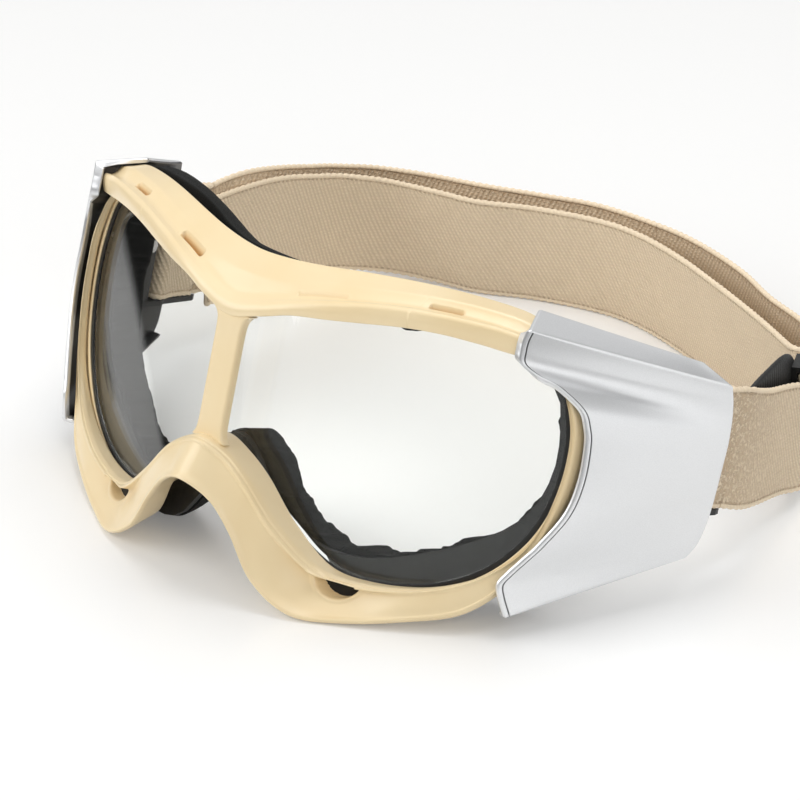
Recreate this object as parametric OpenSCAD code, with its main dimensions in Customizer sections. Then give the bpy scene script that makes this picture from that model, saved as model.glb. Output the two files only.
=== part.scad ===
// Protective sports goggles: a moulded front with a brow bar, a centre post and
// a lower frame, one wrapped lens, a foam face seal, two metal side covers that
// swing on hinge pins, and an elastic head strap with a slider.
//
// The front is drawn upright (x to the wearer's left, y back, z up along the
// post, y = 0 at the post's front face) and then leans back on its two lobes.
// The strap is drawn where it lies, on the floor plane z = 0.

/* [Stance] */
// Angle that the goggles lean back at on their lobes
lean = 18; // [14:0.5:20]
// Distance from the post's foot back to the middle of the whole object
origin_y = 89.05; // [60:0.05:120]

/* [Front] */
// Half of the frame's width, at the stiles
half_w = 96; // [92:0.5:100]
// How far the front wraps back, per millimetre sideways
wrap = 0.465; // [0.44:0.005:0.49]
// Radius of the rounding of the wrap at the nose
wrap_round = 30; // [27:1:33]
// Width of the centre post
post_w = 9.6; // [8:0.2:11]
// Depth of the centre post
post_t = 2.6; // [2:0.2:4]
// Thickness of the brow bar's channel, round its vent slots
brow_wall = 3.4; // [2:0.1:3.6]
// Thickness of the brow bar's front face
brow_face = 2; // [1.4:0.1:2.4]
// Length of the two inner vent slots in the brow
slot_long = 13.5; // [9:0.5:15]
// Length of the two outer vent slots in the brow
slot_short = 9; // [6:0.5:10]
// Width of the brow's vent slots
slot_w = 3.4; // [2.4:0.1:3.6]
// Depth of the scoop in each lobe
scoop_d = 3.6; // [2:0.2:4.4]
// Length of the vent hole in each lobe's scoop
lobe_vent_l = 12.5; // [8:0.5:13]
// Height of the vent hole in each lobe's scoop
lobe_vent_h = 5; // [3:0.5:5.5]
// Slope of the lower frame's underside against the floor
relief = 2; // [1:0.5:5]

/* [Lens] */
// Distance from the wrap surface back to the lens's front face
lens_back = 8.5; // [8.3:0.1:9]
// Thickness of the lens
lens_t = 2; // [1.5:0.1:2.2]
// Width of the black seal round the lens
seal_w = 1.6; // [1.2:0.1:1.8]
// Width of the moulded rim round the seal
rim_w = 1.7; // [1.2:0.1:1.8]
// Depth of the moulded rim
rim_t = 3.8; // [3.2:0.1:4]

/* [Face seal] */
// Thickness of the plate that carries the foam
carrier_t = 2; // [1.5:0.1:2.5]
// Thickness of the face foam
foam_t = 13; // [10:0.5:14]
// Crown of the foam's face side
foam_crown = 1.2; // [0.4:0.1:2]
// How much further in the foam's face side reaches at the temples
foam_slant = 2.5; // [0:0.5:4]
// Depth of the waves along the foam's inner edge
foam_wave_d = 0.9; // [0:0.1:1.4]

/* [Side covers] */
// Wall thickness of a side cover
cover_wall = 1.5; // [1.2:0.1:1.7]
// Outward bulge of a cover's middle
cover_bulge = 0.8; // [0.3:0.1:1.5]
// Diameter of a hinge pin
pin_d = 2.5; // [2:0.1:3]
// Radius of the hinge knuckles
knuckle_r = 3; // [2.6:0.1:3]
// Height of the middle knuckle
lug_h = 16; // [12:0.5:18]
// Height of each outer knuckle
knuckle_h = 4; // [3:0.5:4.5]
// Thickness of the bracket inside a cover
bracket_t = 2.5; // [2:0.1:2.8]
// Thickness of the two ears that hold the strap bar
ear_t = 1.6; // [1.2:0.1:1.8]
// Diameter of the bar that holds the strap
bar_d = 2.6; // [2.2:0.1:3]
// Diameter of the small screws
screw_d = 2; // [1.6:0.1:2.4]

/* [Strap] */
// Thickness of the elastic webbing
strap_t = 1.5; // [1.2:0.1:1.7]
// Width of the webbing at the back
strap_w = 32; // [30:0.5:34]
// Width of the webbing at the covers
strap_end_w = 35; // [33:0.5:36]
// Length of the strap end beyond its bar
strap_end_l = 15.5; // [14:0.5:17]
// Length of the slider's loop along the strap
slider_l = 9; // [7:0.5:10]
// Wall thickness of the slider's loop
slider_wall = 1.6; // [1.2:0.1:2]
// Thickness of the slider's ribbed pad
pad_t = 1.8; // [1.4:0.1:2]

/* [Clearances] */
// Gap between neighbouring faces
gap = 0.3; // [0.2:0.05:0.35]
// Radial running clearance of a hinge pin
run = 0.05; // [0.02:0.01:0.08]

/* [Hidden] */

cream = [0.93, 0.85, 0.69];
silver = [0.76, 0.77, 0.79];
black = [0.08, 0.08, 0.08];
beige = [0.78, 0.68, 0.55];
clear = [0.85, 0.9, 0.92, 0.4];
steel = [0.6, 0.6, 0.62];

// Surfaces behind the wrap surface, front to back
rim_front = lens_back - 0.8;
fascia_back = rim_front - gap;
rim_back = rim_front + rim_t;
carrier_front = rim_back + 0.2;
carrier_back = carrier_front + carrier_t;
foam_front = carrier_back + 0.2;
foam_back = foam_front + foam_t;
sx = half_w / 96;

// How far back the wrap surface lies at x
function W(x) = wrap * (sqrt(x * x + wrap_round * wrap_round) - wrap_round);
// A point on a surface that lies off behind the wrap surface
function on(x, z, off) = [x * sx, W(x * sx) + off, z];
function lerp(a, b, t) = a + (b - a) * t;
function unit(v) = v / norm(v);
function flip_x(p, side) = [p[0] * side, p[1], p[2]];

// Smooth curve through the points of p, at u from 0 to 1
function cr(a, b, c, d, t) = 0.5 * (2 * b + (c - a) * t + (2 * a - 5 * b + 4 * c - d) * t * t
    + (3 * b - a - 3 * c + d) * t * t * t);
// Before the first point a curve runs on straight, or mirrored where it starts at x = 0
function before(p) = is_num(p[0]) ? p[1] : p[0][0] == 0 ? [-p[1][0], p[1][1], p[1][2]] : 2 * p[0] - p[1];
function at(p, k) = k < 0 ? before(p) : k > len(p) - 1 ? 2 * p[len(p) - 1] - p[len(p) - 2] : p[k];
function curve(p, u) =
    let (m = len(p) - 1, s = min(u * m, m - 1e-6), k = floor(s), t = s - k)
    cr(at(p, k - 1), p[k], p[k + 1], at(p, k + 2), t);
// The same for a closed ring of points, with n points to a stretch
function ring(p, n) = let (m = len(p)) [for (k = [0:m - 1]) for (i = [0:n - 1])
    cr(p[(k + m - 1) % m], p[k], p[(k + 1) % m], p[(k + 2) % m], i / n)];
// A flat outline moved outwards by d, for an outline that runs anticlockwise
function grow(p, d) = let (m = len(p)) [for (i = [0:m - 1])
    let (t = unit(p[(i + 1) % m] - p[(i + m - 1) % m])) p[i] + d * [t[1], -t[0]]];

// Upright point to where it lies once the goggles lean back
function leaned(p) = [p[0], p[1] * cos(lean) + p[2] * sin(lean),
    -p[1] * sin(lean) + p[2] * cos(lean) + seat_h];

module leaning() translate([0, -origin_y, seat_h]) rotate([-lean, 0, 0]) children();
module lying() translate([0, -origin_y, 0]) children();
module mirrored(side) scale([side, 1, 1]) children();

// Closed skin over rings of points, with a fan over each end
module skin(rings) {
    n = len(rings[0]);
    m = len(rings);
    function middle(r) = [for (k = [0:2]) [for (p = r) p[k]] * [for (p = r) 1 / n]];
    points = concat([for (r = rings) each r], [middle(rings[0]), middle(rings[m - 1])]);
    sides = [for (j = [0:m - 2]) for (i = [0:n - 1]) let (a = j * n + i, b = j * n + (i + 1) % n)
        each [[a, b, b + n], [a, b + n, a + n]]];
    ends = [for (i = [0:n - 1]) each [[m * n, (i + 1) % n, i],
        [m * n + 1, (m - 1) * n + i, (m - 1) * n + (i + 1) % n]]];
    polyhedron(points, concat(sides, ends));
}

// The same for rings that run round and meet again
module round_skin(rings) {
    n = len(rings[0]);
    m = len(rings);
    polyhedron([for (r = rings) each r], [for (j = [0:m - 1]) for (i = [0:n - 1])
        let (a = j * n + i, b = j * n + (i + 1) % n, c = ((j + 1) % m) * n)
        each [[a, b, c + (i + 1) % n], [a, c + (i + 1) % n, c + i]]]);
}

// Sheet with a wall: a grid of outer points and one of inner points
module sheet(outer, inner) {
    nr = len(outer);
    nc = len(outer[0]);
    h = nr * nc;
    faces = [for (i = [0:nr - 2]) for (j = [0:nc - 2]) let (a = i * nc + j, b = a + 1, c = a + nc, d = c + 1)
        each [[a, b, d], [a, d, c], [h + a, h + d, h + b], [h + a, h + c, h + d]]];
    top = [for (j = [0:nc - 2]) let (a = j, b = j + 1) each [[a, h + b, b], [a, h + a, h + b]]];
    low = [for (j = [0:nc - 2]) let (a = (nr - 1) * nc + j, b = a + 1)
        each [[a, b, h + b], [a, h + b, h + a]]];
    fore = [for (i = [0:nr - 2]) let (a = i * nc, b = a + nc) each [[a, b, h + b], [a, h + b, h + a]]];
    aft = [for (i = [0:nr - 2]) let (a = i * nc + nc - 1, b = a + nc) each [[a, h + b, b], [a, h + a, h + b]]];
    polyhedron(concat([for (r = outer) each r], [for (r = inner) each r]), concat(faces, top, low, fore, aft));
}

// Lower frame, one side: the edge of the lens opening and the outer edge.
// Each point is x, z and its distance behind the wrap surface.
opening_edge = [[0, -16, -4.5], [8, -18.6, -2.6], [16, -24, -2.2], [26, -34, -0.9], [38, -42.6, 1],
    [50, -43.6, 1.6], [64, -40.8, 2.2], [76, -35, 3.2], [85, -27, 4.5], [90.4, -18, 5], [93.3, -5, 5],
    [94, 6, 5], [92.8, 15, 5], [89, 24, 5], [84, 29, 5]];
outer_edge = [[0, -28.6, -10.5], [9, -32, -7.7], [16, -39.5, -5.8], [24, -51, -4.4], [36, -57, -4.2],
    [49, -55.4, -2.6], [64, -50.5, -0.6], [77, -44.5, 2], [85.8, -33.6, 4.5], [90.9, -21.8, 5], [95, -7, 5],
    [96, 6, 5], [94.8, 15.6, 5], [90.2, 23.8, 5], [85.6, 29.8, 5]];
// Depth of the outer wall along the same stations
skirt = [8, 8, 9, 11, 12, 11.5, 10.5, 9, 6.3, 5.6, 6, 6.3, 6, 5, 4];
frame_steps = 42;

function scoop(x) = x < 24 || x > 67 ? 0 : scoop_d * pow(sin(180 * pow((x - 24) / 43, 0.8)), 2);
function frame_ring(u, side) =
    let (i = curve(opening_edge, u), o = curve(outer_edge, u), depth = curve(skirt, u),
        ip = on(i[0], i[1], i[2]), op = on(o[0], o[1], o[2]), e = unit(ip - op), b = [0, 1, 0],
        s = scoop(i[0]), k = lerp(ip, op, 0.52),
        section = [op + 1.3 * b, op + 0.9 * e, lerp(op, ip, 0.16) + (0.15 * s - 0.4) * b,
            lerp(op, ip, 0.42) + (0.6 * s - 0.6) * b, lerp(op, ip, 0.66) + (0.9 * s - 0.5) * b,
            lerp(op, ip, 0.82) + (s - 0.4) * b, lerp(op, ip, 0.9) - 0.2 * b, ip - 0.5 * e, ip + 1.3 * b,
            [ip[0], W(ip[0]) + fascia_back, ip[2]],
            [k[0], min(W(k[0]) + fascia_back, k[1] + depth), k[2]],
            op + depth * [0, 1, tan(lean + relief)]])
    [for (p = section) flip_x(p, side)];
frame_rings = [for (j = [-frame_steps:frame_steps]) frame_ring(abs(j) / frame_steps, j < 0 ? -1 : 1)];
// The lobes' lowest points decide how high the front stands
seat_h = -min([for (r = frame_rings) for (p = r) -p[1] * sin(lean) + p[2] * cos(lean)]);

module lower_frame() color(cream) leaning() difference() {
    skin(frame_rings);
    for (side = [-1, 1]) mirrored(side) lobe_vent_cut(0);
}

lobe_vent_x = 43.3 * sx;
lobe_vent_top = -44.9;
module lobe_vent_cut(ease) translate([lobe_vent_x, 0, lobe_vent_top]) rotate([90, 0, 0])
    linear_extrude(60, center = true) half_moon(ease);

// Half-moon hole, flat on top and round below, made smaller by ease
function moon_r() = (lobe_vent_l * lobe_vent_l / 4 + lobe_vent_h * lobe_vent_h) / (2 * lobe_vent_h);
module half_moon(ease) intersection() {
    translate([0, moon_r() - lobe_vent_h]) circle(moon_r() - ease, $fn = 48);
    translate([-lobe_vent_l, -2 * lobe_vent_l - ease]) square([2 * lobe_vent_l, 2 * lobe_vent_l]);
}

// Brow bar, one side: low front edge, lip, rear ridge and rear edge
brow_low = [[0, 18.4, -2.9], [10, 20.8, -3.2], [20, 24, -3.4], [30, 25.7, -3.3], [40, 27.5, -3.1],
    [50, 29.3, -3], [60, 30.3, -2.7], [70, 30.3, -2], [76, 30, -1.6], [82, 29.8, -1.4]];
brow_lip = [[0, 22.4, -3.3], [10, 24.4, -3.5], [20, 27.6, -3.7], [30, 30.5, -3.7], [40, 32.8, -3.7],
    [50, 34.5, -3.6], [60, 35.5, -3.5], [70, 35.9, -3.3], [76, 35.8, -3.1], [82, 35.2, -3]];
brow_ridge = [[0, 30.8, 2.8], [10, 31.4, 3], [20, 32.9, 3], [30, 34.6, 3], [40, 36.2, 3],
    [50, 37.7, 3.2], [60, 38.6, 3.4], [70, 38.7, 3.4], [76, 38.3, 3.4], [82, 37, 3.4]];
brow_rear = [[0, 36.6, 7.4], [10, 36.9, 8.2], [20, 37.9, 8.4], [30, 39.2, 8.4], [40, 40.2, 8.8],
    [50, 40.8, 9.3], [60, 40.9, 9.8], [70, 40.5, 10], [76, 39.6, 9.8], [82, 37.2, 9.4]];
brow_steps = 32;

function brow_section(u, side) =
    let (l = curve(brow_low, u), p = curve(brow_lip, u), r = curve(brow_ridge, u), e = curve(brow_rear, u),
        x = l[0], c = lerp(p, r, 0.5),
        section = [[l[1], l[2]], [(l[1] + p[1]) / 2, (l[2] + p[2]) / 2 - 0.5], [p[1] - 0.4, p[2]],
            [p[1] + 0.3, p[2] + 0.9], [c[1] - 0.9, c[2] + 0.6], [r[1] - 0.2, r[2] - 0.6], [r[1] + 0.6, r[2] + 0.4],
            [e[1], e[2]], [e[1] - 1.4, e[2] + 0.7], [r[1] - brow_wall, r[2] + 0.9],
            [c[1] - brow_wall + 0.3, c[2] + 1.2], [p[1] - brow_wall, l[2] + brow_face + 0.6],
            [l[1] + 0.3, l[2] + brow_face]])
    [for (q = section) flip_x(on(x, q[0], q[1]), side)];

module brow_bar() color(cream) leaning() difference() {
    skin([for (j = [-brow_steps:brow_steps]) brow_section(abs(j) / brow_steps, j < 0 ? -1 : 1)]);
    for (side = [-1, 1]) mirrored(side) {
        brow_slot([24.7, 32.2, 1.4], slot_long);
        brow_slot([60, 37.6, 2.6], slot_short);
    }
}

// Vent slot through the brow's channel, along the wrap, with its middle at spot
function slope(x) = atan(W(x * sx + 0.5) - W(x * sx - 0.5));
module brow_slot(spot, l) translate(on(spot[0], spot[1], spot[2])) rotate([0, 0, slope(spot[0])])
    rotate([-8, -6, 0]) hull() {
        for (s = [-1, 1]) translate([s * (l - slot_w) / 2, 0, 0]) cylinder(14, d = slot_w, center = true, $fn = 24);
    }

// Centre post between the brow and the nose arch
post_top = 18.3;
post_foot = -15.6;
post_y = -2;
module centre_post() color(cream) leaning() translate([0, post_y, post_foot])
    linear_extrude(post_top - post_foot) polygon([[-post_w / 2 + 1.2, 0], [post_w / 2 - 1.2, 0],
        [post_w / 2, 1.2], [post_w / 2, post_t], [-post_w / 2, post_t], [-post_w / 2, 1.2]]);

// Outline of the lens in x and z, one side, from the nose round the cheek to the brow
lens_half = [[0, -18.6], [8, -21.2], [13, -25.5], [19, -30.7], [26, -35.6], [33, -40.4], [41, -43.4],
    [52, -43.2], [65, -39.4], [76.5, -31.8], [85, -20.8], [89.4, -9], [90.8, 3], [89.6, 14], [85.5, 24.5],
    [76, 31], [60, 33.2], [40, 32.2], [20, 29.8], [9, 28.4], [0, 27.8]];
lens_corner = concat(lens_half, [for (i = [len(lens_half) - 2:-1:1]) [-lens_half[i][0], lens_half[i][1]]]);
lens_outline = ring([for (p = lens_corner) [p[0] * sx, p[1]]], 3);

// What lies between two surfaces behind the wrap surface
slab_x = [for (i = [-22:22]) i * 5];
module between(front, back) linear_extrude(140, center = true)
    polygon(concat([for (x = slab_x) [x, W(x) + front]], [for (i = [44:-1:0]) [slab_x[i], W(slab_x[i]) + back]]));
module upright(points) rotate([90, 0, 0]) linear_extrude(200, center = true) polygon(points);

module lens() color(clear) leaning() intersection() {
    upright(lens_outline);
    between(lens_back, lens_back + lens_t);
}

// Ring round the lens, between two distances outside its edge
module lens_ring(inside, outside) difference() {
    upright(grow(lens_outline, outside));
    upright(grow(lens_outline, inside));
}

module lens_seal() color(black) leaning() intersection() {
    lens_ring(0.05, seal_w);
    between(lens_back - 0.4, lens_back + lens_t + 0.4);
}

module lens_rim() color(cream) leaning() intersection() {
    lens_ring(seal_w + 0.05, seal_w + rim_w);
    between(rim_front, rim_back);
}

// Face seal, one side, from the nose down round the cheek and up to the brow, in
// x and z: outer edge at the carrier, outer edge at the face, and inner edge
foam_outer = [[0, -27.5], [7, -31.5], [13, -40], [21, -48], [33, -50.5], [48, -49.5], [64, -45.5], [79, -37],
    [87.5, -24], [90, -8], [90, 10], [88.5, 25], [78, 35], [58, 37.4], [38, 37], [18, 35.4], [0, 34.5]];
foam_face = [[0, -23.5], [7, -27.5], [13, -35.5], [21, -43.3], [33, -45.8], [48, -44.8], [64, -40.8],
    [78.5, -33], [87, -20.5], [89.5, -6], [89.5, 10], [87.5, 24], [78, 34.4], [58, 35.4], [38, 33], [18, 31.6],
    [0, 32.6]];
foam_inner = [[0, -15], [7, -18.5], [14, -27], [22, -34.5], [33, -38.5], [45, -37.5], [57, -32.5],
    [70, -25.2], [81.5, -15], [86, -3], [86, 9], [82.5, 21], [70, 28], [54, 28], [38, 26], [18, 23.2],
    [0, 21.5]];
foam_steps = 60;

// The inner edge runs in shallow waves, and at the temples the face side reaches further in
function foam_wave(u) = foam_wave_d * (sin(360 * 9 * u) + 0.6 * sin(360 * 14 * u + 40)) * min(1, 12 * u * (1 - u));
function flat(p) = [p[0], p[1]];
function ease(t) = let (c = max(0, min(1, t))) c * c * (3 - 2 * c);
function foam_ring(u, side) =
    let (o = flat(curve(foam_outer, u)), b = flat(curve(foam_face, u)), q = flat(curve(foam_inner, u)),
        away = unit(o - q), i = q + away * foam_wave(u),
        f = lerp(i, b, 0.08) - away * foam_slant * ease((q[0] - 60) / 22),
        section = [[i, foam_front], [lerp(i, f, 0.5), foam_front + foam_t * 0.45],
            [f, foam_back - foam_crown], [lerp(f, b, 0.5), foam_back],
            [lerp(f, b, 0.92), foam_back - foam_crown], [lerp(o, b, 0.45) + away * 0.4, foam_front + foam_t * 0.45],
            [o, foam_front]])
    [for (p = section) flip_x(on(p[0][0], p[0][1], p[1]), side)];

module face_foam() color(black) leaning() round_skin(concat(
    [for (j = [0:foam_steps]) foam_ring(j / foam_steps, 1)],
    [for (j = [foam_steps - 1:-1:1]) foam_ring(j / foam_steps, -1)]));

// Carrier plate: a flat ring a little inside the foam's outer edge
carrier_in = 0.4;
function whole(half, n) = let (h = [for (j = [0:n]) curve(half, j / n)])
    [for (p = concat(h, [for (j = [n - 1:-1:1]) [-h[j][0], h[j][1]]])) [p[0] * sx, p[1]]];

module foam_carrier() color(black) leaning() intersection() {
    difference() {
        upright(grow(whole(foam_outer, 36), -carrier_in));
        upright(grow(whole(foam_inner, 36), foam_wave_d + 0.2));
    }
    between(carrier_front, carrier_back);
}

// Mesh plugs in the lobes' vent holes
module lobe_vent_filter() color(black) leaning() for (side = [-1, 1]) mirrored(side) intersection() {
    lobe_vent_cut(0.1);
    between(fascia_back - 1.6, fascia_back - 0.2);
}

// Hinge of a side cover, seen from above
hinge_x = 94.8 * sx;
hinge_y = W(94.8 * sx) + 14.9;
bore_d = pin_d + 2 * run;
pin_z = lug_h / 2 + gap + knuckle_h;

module hinge_lug(side) color(black) leaning() mirrored(side) difference() {
    translate([0, 0, -lug_h / 2]) linear_extrude(lug_h) {
        translate([hinge_x, hinge_y]) circle(knuckle_r, $fn = 48);
        translate([hinge_x, hinge_y]) polygon([[-3.4, -4.6], [1.2, -2.6], [2, -1.5], [0, 2.6], [-2.6, 1.2],
            [-3.4, -1]]);
    }
    translate([hinge_x, hinge_y, 0]) cylinder(lug_h + 2, d = bore_d, center = true, $fn = 48);
}

module hinge_pin(side) color(steel) leaning() mirrored(side) translate([hinge_x, hinge_y, 0]) {
    cylinder(2 * pin_z, d = pin_d, center = true, $fn = 48);
    translate([0, 0, pin_z]) cylinder(0.8, d = pin_d + 1, $fn = 48);
}

// Side cover: its edge from the ridge at the top, round the front curve, down to
// the tip, and the matching points of its rear edge
cover_front = [[84.3, 21.5, 38.6], [83.7, 21, 35.6], [83.6, 20.9, 32.6], [84, 21.2, 29.6], [86.9, 24.1, 27.2],
    [91.4, 28.7, 25], [96.7, 34, 20], [98.6, 35.9, 15], [99.4, 36.7, 10], [99.7, 36.8, 0], [98.1, 35.8, -10],
    [93.7, 32.8, -20], [90.9, 30.8, -25], [88, 28.8, -30], [86.7, 27.9, -33], [87.1, 29, -36.5],
    [88.4, 31.6, -42]];
cover_rear = [[109, 83, 27.6], [109.1, 83.6, 25.6], [109.3, 84.2, 23.6], [109.4, 84.7, 21.6], [109.5, 85.2, 19.2],
    [109.6, 85.5, 16.6], [109.6, 85.8, 14], [109.6, 86, 11.2], [109.5, 86, 8], [109.3, 86, 3], [109.1, 86, -2],
    [108.8, 86, -7], [108.5, 85.8, -11], [108.1, 85.3, -15], [107.6, 84.5, -18.4], [107, 83.2, -20.8],
    [106.4, 81.8, -22.6]];
flange_edge = [[76.1, 34.3, 41.7], [102.9, 75.6, 33]];
return_edge = [[84.8, 33.6, -42.4], [102.8, 83, -22.8]];
cover_rows = 26;
cover_columns = 8;
cover_shift = [hinge_x - 94.8, hinge_y - (0.465 * (sqrt(94.8 * 94.8 + 900) - 30) + 14.9), 0];
cover_out = [0.93, -0.37, 0];
function cover_row(a, b, bulge) = [for (j = [0:cover_columns]) let (u = j / cover_columns)
    lerp(a, b, u) + cover_shift + bulge * 4 * u * (1 - u) * cover_out];
cover_outer = concat([cover_row(flange_edge[0], flange_edge[1], 0)],
    [for (k = [0:cover_rows]) let (u = k / cover_rows)
        cover_row(curve(cover_front, u), curve(cover_rear, u), cover_bulge * min(1, 8 * u * (1 - u)))],
    [cover_row(return_edge[0], return_edge[1], 0)]);
function cover_normal(i, j) =
    let (g = cover_outer, n = len(g) - 1, m = cover_columns,
        down = g[min(i + 1, n)][j] - g[max(i - 1, 0)][j], along = g[i][min(j + 1, m)] - g[i][max(j - 1, 0)])
    unit(cross(down, along));
cover_inner = [for (i = [0:len(cover_outer) - 1]) [for (j = [0:cover_columns])
    cover_outer[i][j] - cover_wall * cover_normal(i, j)]];

// Bracket inside the cover: a plate at bracket_turn to the y axis that carries
// the outer knuckles in front and the strap bar's two ears at the back
bracket_turn = 15;
bracket_out = 0.5;
bracket_end = 24;
bar_spot = [-1.1, 30];
strap_mid = 8;
ear_low = strap_mid - strap_end_w / 2 - gap;
ear_top = strap_mid + strap_end_w / 2 + gap;
ear_r = bar_d / 2 + 1.2;
end_turn = 7;
guard_l = 19;

// Two bosses, at their distance behind the hinge and their height
boss_spots = [[11, 1], [20, 8]];
// Distance of the cover's inside from the hinge line, across the bracket
function across(p) = let (q = p + cover_shift - [hinge_x, hinge_y, 0])
    [q[0] * cos(bracket_turn) - q[1] * sin(bracket_turn), q[0] * sin(bracket_turn) + q[1] * cos(bracket_turn)];
function cover_inside(a) =
    let (f = across(cover_front[9]), r = across(cover_rear[9]), t = (a - f[1]) / (r[1] - f[1]))
    lerp(f[0], r[0], t) + cover_bulge * 4 * t * (1 - t) - cover_wall;

// Along the bracket from the hinge, with z kept
module along_bracket(side) leaning() mirrored(side) translate([hinge_x, hinge_y, 0]) rotate([0, 0, -bracket_turn])
    children();

module cover_bracket(side) color(black) along_bracket(side) difference() {
    union() {
        translate([bracket_out, 0, 0]) rotate([90, 0, 90]) translate([0, 0, -bracket_t]) linear_extrude(bracket_t)
            polygon([[5, -pin_z], [5, pin_z], [14, 18], [19, ear_top + ear_t], [bracket_end, ear_top + ear_t],
                [bracket_end, ear_low - ear_t], [14, ear_low - ear_t]]);
        for (s = [0, 1]) mirror([0, 0, s]) translate([0, 0, lug_h / 2 + gap]) linear_extrude(knuckle_h) {
            circle(knuckle_r, $fn = 48);
            polygon([[0.5, -1], [1.3, -1], [bracket_out, 8], [bracket_out - bracket_t, 8], [-1.5, 2]]);
        }
        for (z = [ear_top, ear_low - ear_t]) translate([0, 0, z]) linear_extrude(ear_t) {
            translate(bar_spot) circle(ear_r, $fn = 48);
            polygon([[bracket_out - bracket_t, bracket_end - 4], [bracket_out, bracket_end - 4],
                bar_spot + [ear_r, 0], bar_spot - [ear_r, 0]]);
        }
        translate([bar_spot[0], bar_spot[1], ear_low - ear_t]) rotate([0, 0, end_turn]) linear_extrude(ear_t)
            polygon([[-1.6, 0], [1.6, 0], [1, guard_l - 2], [0, guard_l], [-1, guard_l - 2]]);
    }
    cylinder(60, d = bore_d, center = true, $fn = 48);
    translate([bar_spot[0], bar_spot[1], strap_mid]) cylinder(60, d = bar_d + 0.1, center = true, $fn = 48);
    for (p = boss_spots) translate([0, p[0], p[1]]) rotate([0, 90, 0])
        cylinder(20, d = screw_d + 0.2, center = true, $fn = 36);
}

module cover_screws(side) color(steel) along_bracket(side) for (p = boss_spots)
    translate([bracket_out - bracket_t - 0.05, p[0], p[1]]) rotate([0, 90, 0]) {
        translate([0, 0, -1.2]) cylinder(1.2, d = screw_d + 1.8, $fn = 36);
        cylinder(cover_inside(p[0]) + bracket_t - bracket_out - 0.1, d = screw_d, $fn = 36);
    }

module side_cover(side) color(silver) difference() {
    union() {
        leaning() mirrored(side) sheet(cover_outer, cover_inner);
        along_bracket(side) for (p = boss_spots) translate([bracket_out + 0.05, p[0], p[1]]) rotate([0, 90, 0])
            cylinder(cover_inside(p[0]) - bracket_out + 0.6, d = screw_d + 2.2, $fn = 36);
    }
    along_bracket(side) for (p = boss_spots) translate([0, p[0], p[1]]) rotate([0, 90, 0])
        cylinder(cover_inside(p[0]) + 0.1, d = screw_d + 0.1, $fn = 36);
}

module strap_bar(side) color(steel) along_bracket(side) translate([bar_spot[0], bar_spot[1], ear_low - ear_t])
    cylinder(ear_top - ear_low + 2 * ear_t, d = bar_d, $fn = 48);

// Strap end: a loop round the bar and two layers that run back from it
loop_r = bar_d / 2 + gap;
module strap_end(side) color(beige) along_bracket(side)
    translate([bar_spot[0], bar_spot[1], strap_mid - strap_end_w / 2]) rotate([0, 0, end_turn])
    linear_extrude(strap_end_w) difference() {
        union() {
            circle(loop_r + strap_t, $fn = 48);
            translate([-strap_t - 0.05, 0]) square([2 * strap_t + 0.1, strap_end_l]);
        }
        circle(loop_r, $fn = 48);
    }

// Where the strap end stops, in the upright frame
function turned(p, a) = [p[0] * cos(a) - p[1] * sin(a), p[0] * sin(a) + p[1] * cos(a)];
function end_point(l) =
    let (q = turned(bar_spot + turned([0, l], end_turn), -bracket_turn)) [hinge_x + q[0], hinge_y + q[1], strap_mid];

// Ribbon along the points of path, upright on its lower edge
function path_dir(path, k) = unit(path[min(k + 1, len(path) - 1)] - path[max(k - 1, 0)]);
function ribbon_ring(path, k, w, t) =
    let (d = path_dir(path, k), up = unit([0, 0, 1] - d[2] * d), n = cross(d, up), p = path[k])
    [p + up * w / 2 + n * t / 2, p + up * w / 2 - n * t / 2, p - up * w / 2 - n * t / 2, p - up * w / 2 + n * t / 2];
module ribbon(path, widths, t) skin([for (k = [0:len(path) - 1]) ribbon_ring(path, k, widths[k], t)]);

// The slider stands on a straight stretch of both layers, clear of the floor
slider_mid = [91, 143.2, strap_w / 2 + slider_wall + 2];
slider_way = unit([-0.488, 0.873]);
slider_side = [-slider_way[1], slider_way[0]];
layer_step = strap_t + 0.35;
function slider_spot(l, inward) = slider_mid + [each (l * slider_way + inward * slider_side), 0];

low = strap_w / 2 + 0.05;
function lead(l, side) = flip_x(leaned(end_point(strap_end_l + gap + l)), side);
outer_spots = [lead(0, 1), lead(2, 1), lead(4, 1), [103.6, 100, 31.2], [101.4, 109, 27.4], [98.7, 122, 23.7],
    slider_spot(-12.5, 0) + [0, 0, 0.6], slider_spot(-8.5, 0), slider_spot(-4.5, 0), slider_spot(-0.5, 0),
    slider_spot(3.5, 0), slider_spot(7.5, 0), slider_spot(11.5, 0) - [0, 0, 0.3], [79.5, 160.5, low + 2],
    [66, 171, low + 0.6], [47, 178.5, low], [29, 187, low], [7, 193.5, low], [-11, 195.5, low], [-34, 194.5, low],
    [-52, 189, low], [-72, 182, low], [-90, 175.5, low + 0.6], [-102, 165.5, low + 2.6], [-107, 152, 22],
    [-107.6, 138, 26.2], [-107, 124, 30.2], [-105.8, 110, 33.4], [-105.3, 100, 34],
    lead(4, -1), lead(2, -1), lead(0, -1)];
inner_spots = [[-102.7, 98, 30.6], [-103.8, 110, 29.6], [-104.4, 123, 27.8], [-104, 137, 24.4],
    [-101.5, 151, 20.6], [-93, 162.5, low + 1.6], [-79, 168.5, low + 0.4], [-65, 172, low], [-48, 180, low],
    [-27, 186, low], [-11, 186.4, low], [9, 182, low], [32, 174, low], [50, 167, low], [63, 161, low + 0.4],
    [75, 154.6, low + 1.4], slider_spot(11.5, layer_step + 1.5) - [0, 0, 0.4], slider_spot(7.5, layer_step),
    slider_spot(3.5, layer_step), slider_spot(-0.5, layer_step), slider_spot(-4.5, layer_step)];
outer_n = 110;
inner_n = 76;
outer_path = [for (i = [0:outer_n]) curve(outer_spots, i / outer_n)];
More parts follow.
